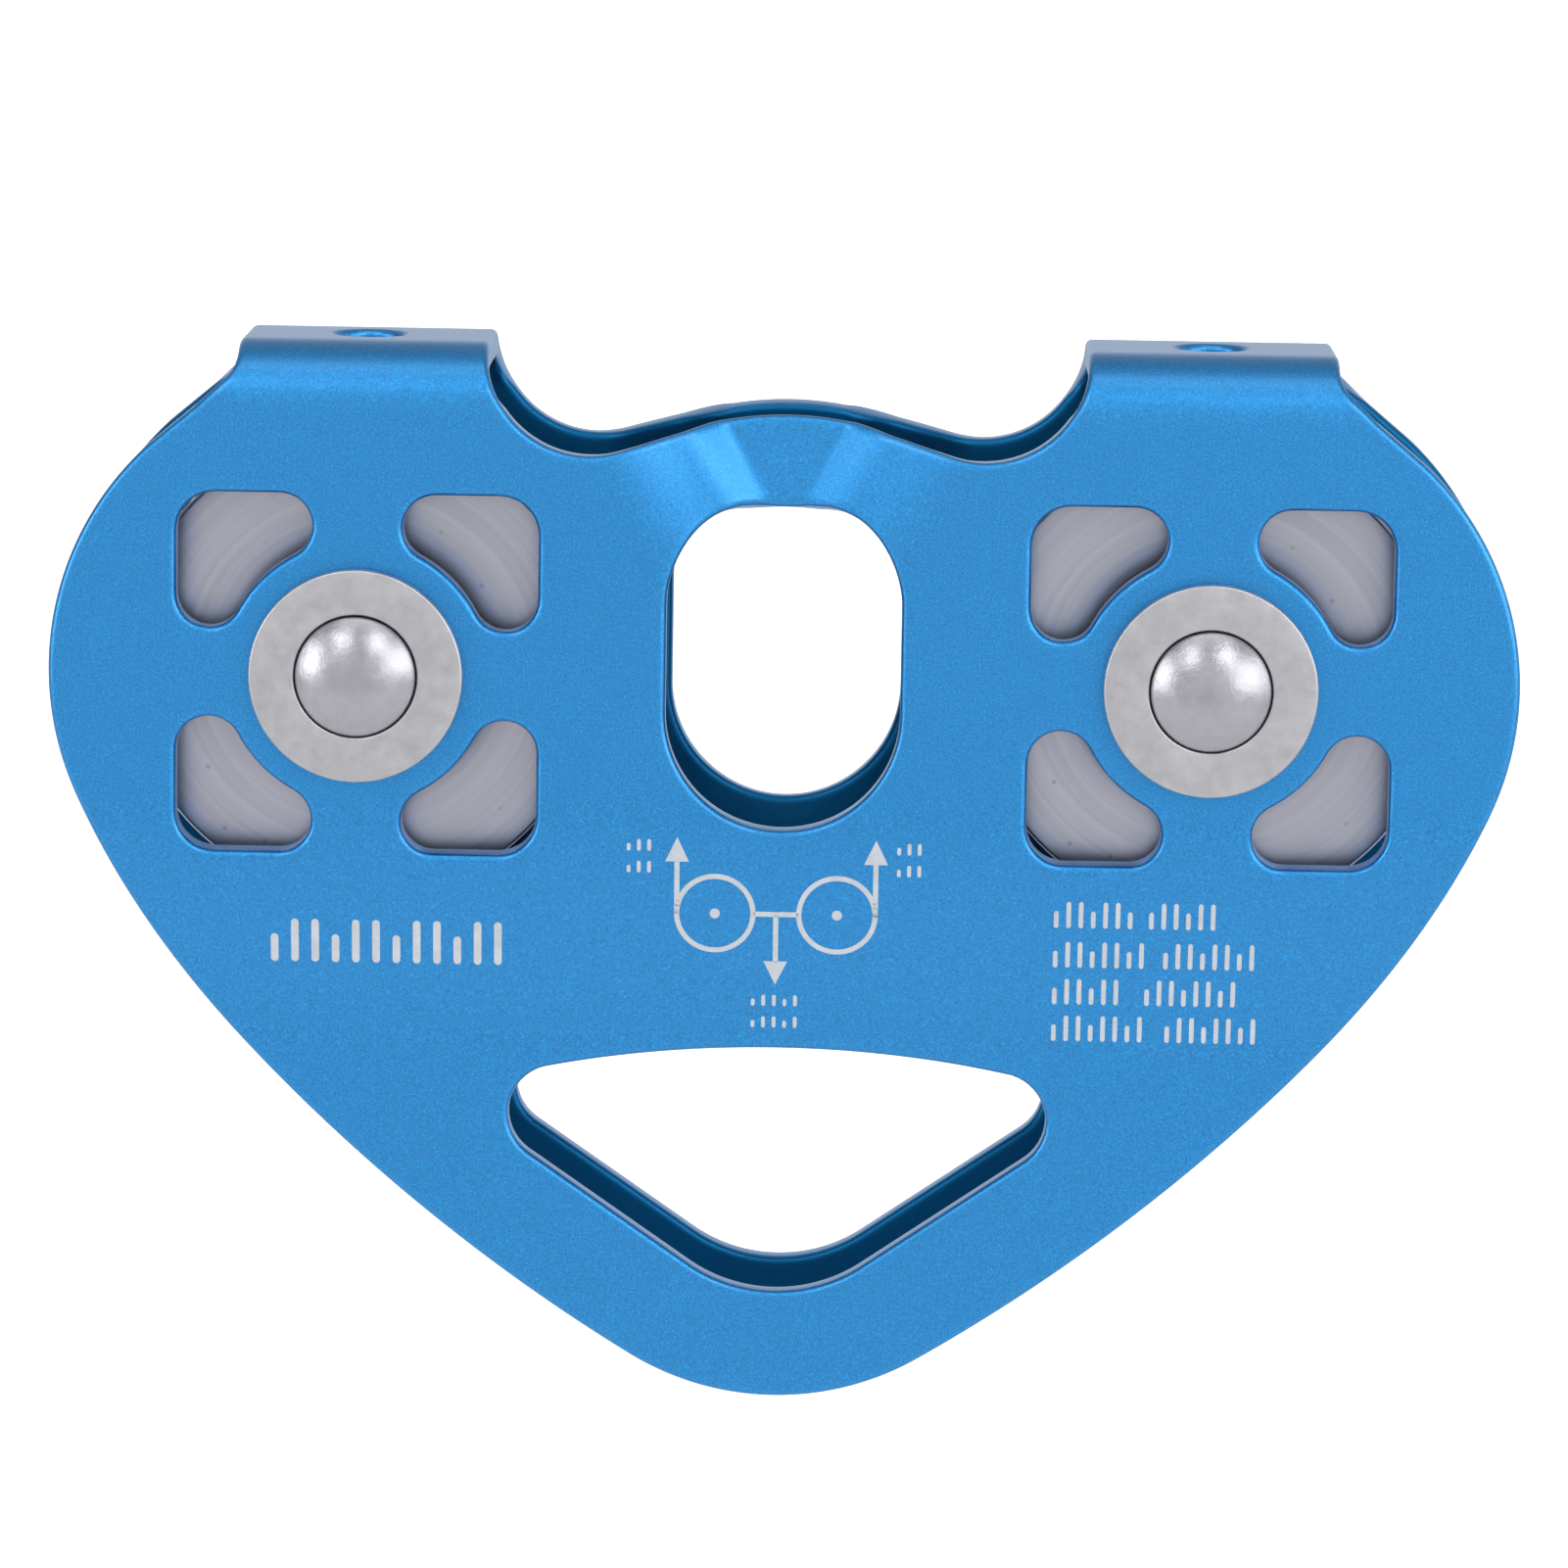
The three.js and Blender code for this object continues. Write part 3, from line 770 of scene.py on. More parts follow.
@dataclass(frozen=True)
class Outlines:
    """The outlines that are cut out of the blank, as seen from the front."""

    sheet: PressedSheet
    step: float = 0.2
    bridge_x: float = 49.7
    bridge_half: float = 14.65
    crown_radius: float = 38.0
    crown_slope: float = 16.5
    valley_radius: float = 12.1
    valley_bottom: float = 26.1
    fillet_radius: float = 4.0
    shoulder_angle: float = 47.5
    lobe_radius: float = 36.2
    lobe_end: float = -24.6
    tip_straight: float = 0.51
    axle_bore: float = 6.15
    bridge_hole: float = 4.1

    def arc(self, x: float, z: float, radius: float, start: float, end: float) -> list[tuple[float, float]]:
        """An arc at this outline's step."""
        return arc(x, z, radius, start, end, self.step)

    def crown_side(self) -> np.ndarray:
        """From the middle of a plate's top edge, down into the valley and up the inner side of a bridge.

        Returns:
            Rows of x and z.
        """
        crown_z = self.sheet.pinch_top - self.crown_radius
        crown = self.arc(0, crown_z, self.crown_radius, 90, 90 - self.crown_slope)
        valley_x = self.bridge_x - self.bridge_half - self.valley_radius
        valley_z = self.valley_bottom + self.valley_radius
        valley = self.arc(valley_x, valley_z, self.valley_radius, 270 - self.crown_slope, 360)
        return np.array(crown + valley)

    def heart_side(self) -> np.ndarray:
        """From the outer side of a bridge, over the shoulder and round the lobe, down to the lower tip.

        Returns:
            Rows of x and z.
        """
        angle = math.radians(self.shoulder_angle)
        shoulder_x = AXLE_X + self.lobe_radius * math.cos(angle)
        shoulder_z = self.lobe_radius * math.sin(angle)
        bridge_out = self.bridge_x + self.bridge_half
        meet = shoulder_z + (shoulder_x - bridge_out) / math.tan(angle)
        fillet_top = meet + self.fillet_radius * math.tan(angle / 2)
        fillet_x = bridge_out + self.fillet_radius
        fillet = self.arc(fillet_x, fillet_top, self.fillet_radius, 180, 180 + self.shoulder_angle)
        lobe = self.arc(AXLE_X, 0, self.lobe_radius, self.shoulder_angle, self.lobe_end)
        return np.array(fillet + lobe + self.flank(lobe[-1], self.lobe_end))

    def flank(self, start: tuple[float, float], normal: float) -> list[tuple[float, float]]:
        """The long lower side: two wide arcs, a short straight and half of the round tip.

        Args:
            start: where the lobe ends.
            normal: angle of the outward normal there, in degrees.

        Returns:
            The points after start, down to the middle of the tip.
        """
        points = []
        x, z = start
        for radius, end in ((115.0, -44.4), (219.5, -58.7)):
            centre_x = x - radius * math.cos(math.radians(normal))
            centre_z = z - radius * math.sin(math.radians(normal))
            points += self.arc(centre_x, centre_z, radius, normal, end)[1:]
            x, z = points[-1]
            normal = end
        across = Vector((math.cos(math.radians(normal)), math.sin(math.radians(normal))))
        end_x = x + across.y * self.tip_straight
        end_z = z - across.x * self.tip_straight
        tip_radius = end_x / across.x
        return points + self.arc(0, end_z - tip_radius * across.y, tip_radius, normal, -90)

    def oblong_slot(self) -> np.ndarray:
        """The upright slot between the sheaves: a wide rounded top and a half-round bottom.

        Returns:
            Rows of x and z.
        """
        half_width, flat_top = 13.77, 4.85
        corner_height, corner_base, bottom_centre = 11.3, 8.7, -3.95
        angles = np.linspace(0, math.pi / 2, 70)
        corner_x = flat_top + (half_width - flat_top) * np.sin(angles)
        corner_z = corner_base + corner_height * np.cos(angles)
        corner = list(zip(corner_x, corner_z))
        return mirrored(corner + self.arc(0, bottom_centre, half_width, 0, -90))

    def lower_slot(self) -> np.ndarray:
        """The lower slot: an arched top, round sides, straight slopes and a round bottom.

        Returns:
            Rows of x and z.
        """
        arch_radius, arch_slope = 136.0, 11.5
        corner_radius, corner_x, corner_z = 5.8, 26.1, -52.8
        side_slope, bottom_radius = 34.5, 18.0
        lean = math.radians(arch_slope)
        arch_centre = corner_z + (corner_radius - arch_radius) * math.cos(lean)
        arch = self.arc(0, arch_centre, arch_radius, 90, 90 - arch_slope)
        corner = self.arc(corner_x, corner_z, corner_radius, 90 - arch_slope, side_slope - 90)
        slope = math.radians(side_slope)
        bottom_x = bottom_radius * math.sin(slope)
        bottom_z = corner[-1][1] - (corner[-1][0] - bottom_x) * math.tan(slope)
        bottom = self.arc(0, bottom_z + bottom_radius * math.cos(slope), bottom_radius, side_slope - 90, -90)
        return mirrored(arch + corner[1:] + bottom)

    def window(self, axle_x: float, sign_x: int, sign_z: int) -> np.ndarray:
        """One bean-shaped window beside an axle.

        Args:
            axle_x: x of the axle.
            sign_x: which side of the axle it is on.
            sign_z: 1 above the axle and -1 below it.

        Returns:
            The window's outline.
        """
        reach, corner_radius, end_radius, end_near = 21.2, 4.6, 3.85, 9.15
        end_far = reach - end_radius
        corner = reach - corner_radius
        inner_radius = math.hypot(end_far, end_near) - end_radius
        lean = math.degrees(math.atan2(end_near, end_far))
        points = self.arc(end_far, end_near, end_radius, lean - 180, 0)
        points += self.arc(corner, corner, corner_radius, 0, 90)
        points += self.arc(end_near, end_far, end_radius, 90, 270 - lean)
        points += self.arc(0, 0, inner_radius, 90 - lean, lean)
        return np.array([(axle_x + sign_x * x, sign_z * z) for x, z in points])

    def on_blank(self, outline: np.ndarray, face: Face) -> np.ndarray:
        """Lays an outline seen from the front onto one half of the blank."""
        return np.column_stack([outline[:, 0], face.value * self.sheet.along(outline[:, 1])])

    def loops(self) -> list[np.ndarray]:
        """Every closed edge of the blank, the outer one first.

        Returns:
            Arrays with rows of x and along.
        """
        flip = np.array([-1, 1])
        found = []
        for half in (self.heart_side()[::-1], self.crown_side()):
            front, rear = self.on_blank(half, Face.FRONT), self.on_blank(half, Face.REAR)
            right = np.vstack([front, rear[::-1]])
            found.append(np.vstack([right, right[::-1] * flip]))
        for face in Face:
            cuts = [self.oblong_slot(), self.lower_slot()]
            for hand in Hand:
                axle_x = hand.value * AXLE_X
                cuts.append(np.array(self.arc(axle_x, 0, self.axle_bore, 0, 360)))
                cuts += [self.window(axle_x, i, j) for i in (-1, 1) for j in (-1, 1)]
            found += [self.on_blank(cut, face) for cut in cuts]
        for hand in Hand:
            found.append(np.array(self.arc(hand.value * self.bridge_x, 0, self.bridge_hole, 0, 360)))
        return found


def mirrored(half: list[tuple[float, float]]) -> np.ndarray:
    """Turns a right-hand half outline, from top middle to bottom middle, into a whole loop."""
    right = np.array(half)
    return np.vstack([right, right[::-1] * np.array([-1, 1])])


def evenly_spaced(loop: np.ndarray, spacing: float) -> np.ndarray:
    """Respaces the points of a closed loop.

    Args:
        loop: the loop's points, finely spaced; the last need not repeat the first.
        spacing: the new distance between points.

    Returns:
        The new points, without a repeat of the first.
    """
    closed = np.vstack([loop, loop[:1]])
    steps = np.hypot(*np.diff(closed, axis=0).T)
    keep = np.concatenate([[True], steps > 1e-9])
    closed = closed[keep]
    distance = np.concatenate([[0.0], np.cumsum(steps[steps > 1e-9])])
    count = max(12, round(distance[-1] / spacing))
    at = np.arange(count) * distance[-1] / count
    return np.column_stack([np.interp(at, distance, closed[:, 0]), np.interp(at, distance, closed[:, 1])])


def signed_area(loop: np.ndarray) -> float:
    """Area of a loop, positive when it runs counter-clockwise."""
    after = np.roll(loop, -1, axis=0)
    return 0.5 * float(np.sum(loop[:, 0] * after[:, 1] - after[:, 0] * loop[:, 1]))


def inside(points: np.ndarray, loops: list[np.ndarray]) -> np.ndarray:
    """Which points are inside the outer loop and outside the holes.

    Args:
        points: rows of two coordinates.
        loops: closed loops.

    Returns:
        True for each point that an odd number of loops surrounds.
    """
    odd = np.zeros(len(points), bool)
    for loop in loops:
        low, high = loop.min(0), loop.max(0)
        near = np.flatnonzero(np.all((points > low) & (points < high), axis=1))
        if not len(near):
            continue
        x, y = points[near, 0][:, None], points[near, 1][:, None]
        after = np.roll(loop, -1, axis=0)
        x0, y0, x1, y1 = loop[:, 0], loop[:, 1], after[:, 0], after[:, 1]
        spans = (y0 > y) != (y1 > y)
        rise = np.where(y1 == y0, 1.0, y1 - y0)
        crosses = spans & (x < x0 + (y - y0) * (x1 - x0) / rise)
        odd[near] ^= crosses.sum(axis=1) % 2 == 1
    return odd


@dataclass
class Frame:
    """The folded frame: one sheet with rounded edges, cut, folded and pressed."""

    sheet: PressedSheet
    outlines: Outlines
    edge_radius: float = 0.75
    edge_steps: int = 4
    edge_spacing: float = 0.8
    support: float = 0.4
    fine: float = 1.1
    coarse: float = 2.3
    clear_share: float = 0.55

    def build(self) -> bpy.types.Object:
        """Builds the frame's mesh.

        Returns:
            The finished frame.
        """
        loops = []
        for number, loop in enumerate(self.outlines.loops()):
            spaced = evenly_spaced(loop, self.edge_spacing)
            clockwise = signed_area(spaced) < 0
            loops.append(spaced[::-1] if clockwise == (number == 0) else spaced)
        rings = self._rings()
        points, faces, inner = self._shell(loops, rings)
        piece = mesh_object("pressed_frame", self.sheet.place(points), [], faces)
        # The inner attribute marks where the blue finish paints shade: the inner face and the inner part of
        # each cut edge.
        attribute = piece.data.attributes.new("inner", "FLOAT", "POINT")
        attribute.data.foreach_set("value", inner.astype(np.float32))
        only(piece)
        bpy.ops.object.shade_smooth()
        deselect()
        return piece

    @property
    def painted_shade_from(self) -> float:
        """Distance out from the sheet's middle below which a point of a cut edge counts as inner, and gets
        painted shade.
        """
        return 0.6 * self.edge_radius - self.sheet.half_thickness

    def _rings(self) -> list[tuple[float, float]]:
        """How each ring lies that follows the loops from the outer face to the inner one.

        Returns:
            Pairs of distance in from the cut edge and distance out from the sheet's middle.
        """
        half = self.sheet.half_thickness
        rounded = []
        for i in range(self.edge_steps + 1):
            angle = math.pi / 2 * i / self.edge_steps
            through = half - self.edge_radius * (1 - math.cos(angle))
            rounded.append((self.edge_radius * (1 - math.sin(angle)), through))
        outer = [(self.edge_radius + self.support, half)] + rounded
        return outer + [(inward, -through) for inward, through in reversed(outer)]

    def _shell(self, loops: list[np.ndarray],
               rings: list[tuple[float, float]]) -> tuple[np.ndarray, list, np.ndarray]:
        """Makes the rings' strips and the two faces of the sheet.

        Args:
            loops: the cut edges, with the metal on the left of each.
            rings: what _rings gives.

        Returns:
            The points on the blank, the faces, and which points are on the inner face, 1 for those, where the
            finish paints shade.
        """
        points, faces, inner, borders = [], [], [], []
        total = 0
        for loop in loops:
            count = len(loop)
            tangent = np.roll(loop, -1, axis=0) - np.roll(loop, 1, axis=0)
            tangent /= np.hypot(*tangent.T)[:, None]
            inward = np.column_stack([-tangent[:, 1], tangent[:, 0]])
            for reach, through in rings:
                points.append(np.column_stack([loop + inward * reach, np.full(count, through)]))
                inner.append(np.full(count, float(through < self.painted_shade_from)))
            for ring in range(len(rings) - 1):
                a, b = total + ring * count, total + (ring + 1) * count
                faces += [(a + i, b + i, b + (i + 1) % count, a + (i + 1) % count) for i in range(count)]
            borders.append((total, total + (len(rings) - 1) * count, count))
            total += len(rings) * count
        stacked = np.vstack(points)
        outer = [stacked[first:first + count, :2] for first, _, count in borders]
        cap_points, cap_faces = self._cap(outer)
        border_count = sum(count for _, _, count in borders)
        extra = len(cap_points) - border_count
        half = self.sheet.half_thickness
        top = np.concatenate([np.arange(first, first + count) for first, _, count in borders]
                             + [np.arange(total, total + extra)])
        bottom = np.concatenate([np.arange(last, last + count) for _, last, count in borders]
                                + [np.arange(total + extra, total + 2 * extra)])
        for through in (half, -half):
            points.append(np.column_stack([cap_points[border_count:], np.full(extra, through)]))
            inner.append(np.full(extra, float(through < 0)))
        faces += [tuple(int(top[i]) for i in face) for face in cap_faces]
        faces += [tuple(int(bottom[i]) for i in reversed(face)) for face in cap_faces]
        return np.vstack(points), faces, np.concatenate(inner)

    def _lattice(self, borders: list[np.ndarray]) -> np.ndarray:
        """Points inside the sheet's face, closer together where it is bent or pressed.

        Args:
            borders: the loops that bound the face.

        Returns:
            The points that lie well inside the face.
        """
        low, high = borders[0].min(0), borders[0].max(0)
        tree = KDTree(sum(len(b) for b in borders))
        for number, point in enumerate(np.vstack(borders)):
            tree.insert((*point, 0.0), number)
        tree.balance()
        kept = []
        for spacing, wanted in ((self.fine, True), (self.coarse, False)):
            row = spacing * math.sqrt(3) / 2
            xs = np.arange(low[0], high[0], spacing)
            ys = np.arange(low[1], high[1], row)
            grid_x, grid_y = np.meshgrid(xs, ys)
            grid_x = grid_x + (np.arange(len(ys)) % 2)[:, None] * spacing / 2
            grid = np.column_stack([grid_x.ravel(), grid_y.ravel()])
            grid = grid[self._is_shaped(grid) == wanted]
            grid = grid[inside(grid, borders)]
            clear = [tree.find((*p, 0.0))[2] > self.clear_share * spacing for p in grid]
            kept.append(grid[np.array(clear)])
        return np.vstack(kept)

    def _is_shaped(self, points: np.ndarray) -> np.ndarray:
        """Which points of the blank are in a bend or in the pressed middle.

        Args:
            points: rows of x and along.

        Returns:
            True for each point that is.
        """
        sheet = self.sheet
        x, along = np.abs(points[:, 0]), np.abs(points[:, 1])
        z = sheet.bend_z + sheet.plate_start - along
        in_bend = (along > sheet.half_flat - 1) & (along < sheet.plate_start + 1)
        ramp_end = sheet.ramp_start + sheet.ramp_width + sheet.crease_spread * (z - sheet.pinch_knee)
        return in_bend | ((x < ramp_end + 1) & (z < sheet.bend_z) & (z > sheet.close_start))

    def _cap(self, borders: list[np.ndarray]) -> tuple[np.ndarray, list]:
        """Fills one face of the sheet with triangles.

        Args:
            borders: the loops that bound the face.

        Returns:
            The points, the borders' first, and the triangles, counter-clockwise.
        """
        lattice = self._lattice(borders)
        flat = np.vstack(borders + [lattice])
        edges, first = [], 0
        for border in borders:
            count = len(border)
            edges += [(first + i, first + (i + 1) % count) for i in range(count)]
            first += count
        _, _, tris, origins, _, _ = delaunay_2d_cdt([Vector(p) for p in flat], edges, [], 0, 1e-6)
        number = [origin[0] for origin in origins]
        corners = np.array([[number[i] for i in tri] for tri in tris])
        middle = flat[corners].mean(axis=1)
        corners = corners[inside(middle, borders)]
        a, b, c = (flat[corners[:, i]] for i in range(3))
        turn = (b[:, 0] - a[:, 0]) * (c[:, 1] - a[:, 1]) - (b[:, 1] - a[:, 1]) * (c[:, 0] - a[:, 0])
        corners[turn < 0] = corners[turn < 0][:, ::-1]
        return flat, [tuple(map(int, row)) for row in corners[np.abs(turn) > 1e-9]]


# -------------------------------------------------------------------- markings


@dataclass
class Markings:
    """Light engraved marks on the front plate: a plain two-sheave load diagram and rows of upright ticks."""

    sheet: PressedSheet
    line: float = 0.6
    thickness: float = 0.07
    sunk: float = 0.05
    cell: float = 0.6

    def build(self) -> list[bpy.types.Object]:
        """Builds every group of marks.

        Returns:
            The finished groups.
        """
        diagram = self._diagram()
        left_row = self._ticks(-59.6, -32.9, (-34.5, -29.2), 0.9, 2.4)
        return [diagram, self._finish("left_marks", left_row), self._right_rows()]

    def _diagram(self) -> bpy.types.Object:
        """Two rings joined by a bar, a load arrow down from the bar and a rope arrow up from each ring.

        Returns:
            The finished group.
        """
        radius, ring_x, ring_z = 4.8, 7.2, -27.6
        shift, stem_end, rope_end = -0.43, -33.4, -21.4
        side_rows, foot_rows, row_half = (-22.1, -19.5), (-41.0, -38.3), 0.7
        parts = [self._bar((shift - ring_x + radius, ring_z), (shift + ring_x - radius, ring_z)),
                 self._bar((shift, ring_z), (shift, stem_end)), self._head((shift, stem_end), -1)]
        for side in (-1, 1):
            outer_x = shift + side * (ring_x + radius - self.line / 2)
            parts.append(self._ring(shift + side * ring_x, ring_z, radius))
            parts.append(self._dot(shift + side * ring_x, ring_z, self.line))
            parts.append(self._bar((outer_x, ring_z), (outer_x, rope_end)))
            parts.append(self._head((outer_x, rope_end), 1))
            middle = shift + side * 15.9
            for row in side_rows:
                parts += self._ticks(middle - 1.5, middle + 1.5, (row - row_half, row + row_half), 0.45, 1.2)
        for row in foot_rows:
            parts += self._ticks(shift - 2.6, shift + 2.6, (row - row_half, row + row_half), 0.45, 1.25)
        return self._finish("load_diagram", parts)

    def _right_rows(self) -> bpy.types.Object:
        """Four rows of ticks, each split in two.

        Returns:
            The finished group.
        """
        parts = []
        rows = ((-28.6, 41.4, 52.4), (-33.5, 43.2, 56.8), (-38.1, 41.1, 54.0), (-42.7, 43.6, 57.4))
        for bottom, split, end in rows:
            for low, high in ((32.6, split), (split + 2.4, end)):
                parts += self._ticks(low, high, (bottom, bottom + 3.2), 0.55, 1.45)
        return self._finish("right_marks", parts)

    def _ticks(self, low: float, high: float, span: tuple[float, float], width: float, pitch: float) -> list:
        """A row of upright ticks of two heights in turn.

        Args:
            low: x of the first tick.
            high: the furthest x of the last tick.
            span: z of the lower and upper ends of the taller ticks.
            width: the ticks' width.
            pitch: from one tick to the next.

        Returns:
            The ticks, lying flat.
        """
        bottom, top = span
        parts = []
        for number, x in enumerate(np.arange(low, high + 0.01, pitch)):
            end = top if number % 3 else top - 0.35 * (top - bottom)
            parts.append(self._bar((float(x), bottom + width / 2), (float(x), end - width / 2), width))
        return parts

    def _cut(self, part: bpy.types.Object) -> bpy.types.Object:
        """Cuts a flat part into small faces, so that it can follow the pressed sheet, and thickens it.

        Args:
            part: the flat part.

        Returns:
            The same part.
        """
        only(part)
        bpy.ops.object.transform_apply(location=True, rotation=True, scale=True)
        corners = np.array([v.co for v in part.data.vertices])
        bpy.ops.object.mode_set(mode="EDIT")
        for axis in range(2):
            low, high = corners[:, axis].min(), corners[:, axis].max()
            normal = [0.0, 0.0, 0.0]
            normal[axis] = 1.0
            for at in np.arange(low + self.cell, high, self.cell):
                point = [0.0, 0.0, 0.0]
                point[axis] = float(at)
                bpy.ops.mesh.select_all(action="SELECT")
                bpy.ops.mesh.bisect(plane_co=point, plane_no=normal)
        bpy.ops.object.mode_set(mode="OBJECT")
        thicken(part, (0, 0, self.thickness))
        return part

    def _bar(self, start: tuple[float, float], end: tuple[float, float],
             width: float = 0.0) -> bpy.types.Object:
        """A bar with round ends, level or upright.

        Args:
            start: middle of one end.
            end: middle of the other end.
            width: the bar's width, the diagram's line where it is 0.

        Returns:
            The bar, lying flat.
        """
        half = (width or self.line) / 2
        ends = [Vector(start), Vector(end)]
        angle = math.degrees(math.atan2(*(ends[1] - ends[0]).yx))
        step = 0.15
        rim = arc(*ends[1], half, angle - 90, angle + 90, step)
        rim += arc(*ends[0], half, angle + 90, angle + 270, step)
        points = [(x, z, 0.0) for x, z in rim]
        return self._cut(mesh_object("bar", np.array(points), [], [tuple(range(len(points)))]))

    def _ring(self, x: float, z: float, radius: float) -> bpy.types.Object:
        """A ring of the diagram's line width.

        Args:
            x: its middle.
            z: its middle.
            radius: its outer radius.

        Returns:
            The ring, lying flat.
        """
        deselect()
        bpy.ops.mesh.primitive_circle_add(vertices=72, radius=radius, fill_type="NGON", location=(x, z, 0))
        part = bpy.context.object
        bpy.ops.object.mode_set(mode="EDIT")
        bpy.ops.mesh.select_all(action="SELECT")
        bpy.ops.mesh.inset(thickness=self.line, depth=0)
        bpy.ops.mesh.delete(type="FACE")
        bpy.ops.object.mode_set(mode="OBJECT")
        return self._cut(part)

    def _dot(self, x: float, z: float, radius: float) -> bpy.types.Object:
        """A round dot.

        Args:
            x: its middle.
            z: its middle.
            radius: its radius.

        Returns:
            The dot, lying flat.
        """
        deselect()
        bpy.ops.mesh.primitive_circle_add(vertices=24, radius=radius, fill_type="NGON", location=(x, z, 0))
        return self._cut(bpy.context.object)

    def _head(self, base: tuple[float, float], way: int) -> bpy.types.Object:
        """An arrow head.

        Args:
            base: middle of the head's base.
            way: 1 to point up and -1 to point down.

        Returns:
            The head, lying flat.
        """
        half, height = 1.4, 2.9
        x, z = base
        corners = [(x - half, z, 0), (x + half, z, 0), (x, z + way * height, 0)]
        return self._cut(mesh_object("head", np.array(corners), [], [(0, 1, 2)]))

    def _finish(self, name: str, parts: list[bpy.types.Object]) -> bpy.types.Object:
        """Joins flat parts and lays them on the pressed front plate.

        Args:
            name: the group's name.
            parts: the flat parts.

        Returns:
            The finished group.
        """
        deselect()
        for part in parts:
            part.select_set(True)
        bpy.context.view_layer.objects.active = parts[0]
        bpy.ops.object.join()
        group = parts[0]
        group.name = group.data.name = name
        flat = np.array([v.co for v in group.data.vertices])
        along = Face.FRONT.value * self.sheet.along(flat[:, 1])
        through = self.sheet.half_thickness - self.sunk + flat[:, 2]
        placed = self.sheet.place(np.column_stack([flat[:, 0], along, through]))
        group.data.vertices.foreach_set("co", placed.astype(np.float32).ravel())
        group.data.update()
        face_outwards(group)
        deselect()
        return group


# ------------------------------------------------------------------ wheel sets


def facing(face: Face, section: list[tuple[float, float]]) -> list[tuple[float, float]]:
    """Turns a section that is drawn on the rear side to a given face."""
    return [(radius, face.value * y) for radius, y in section]


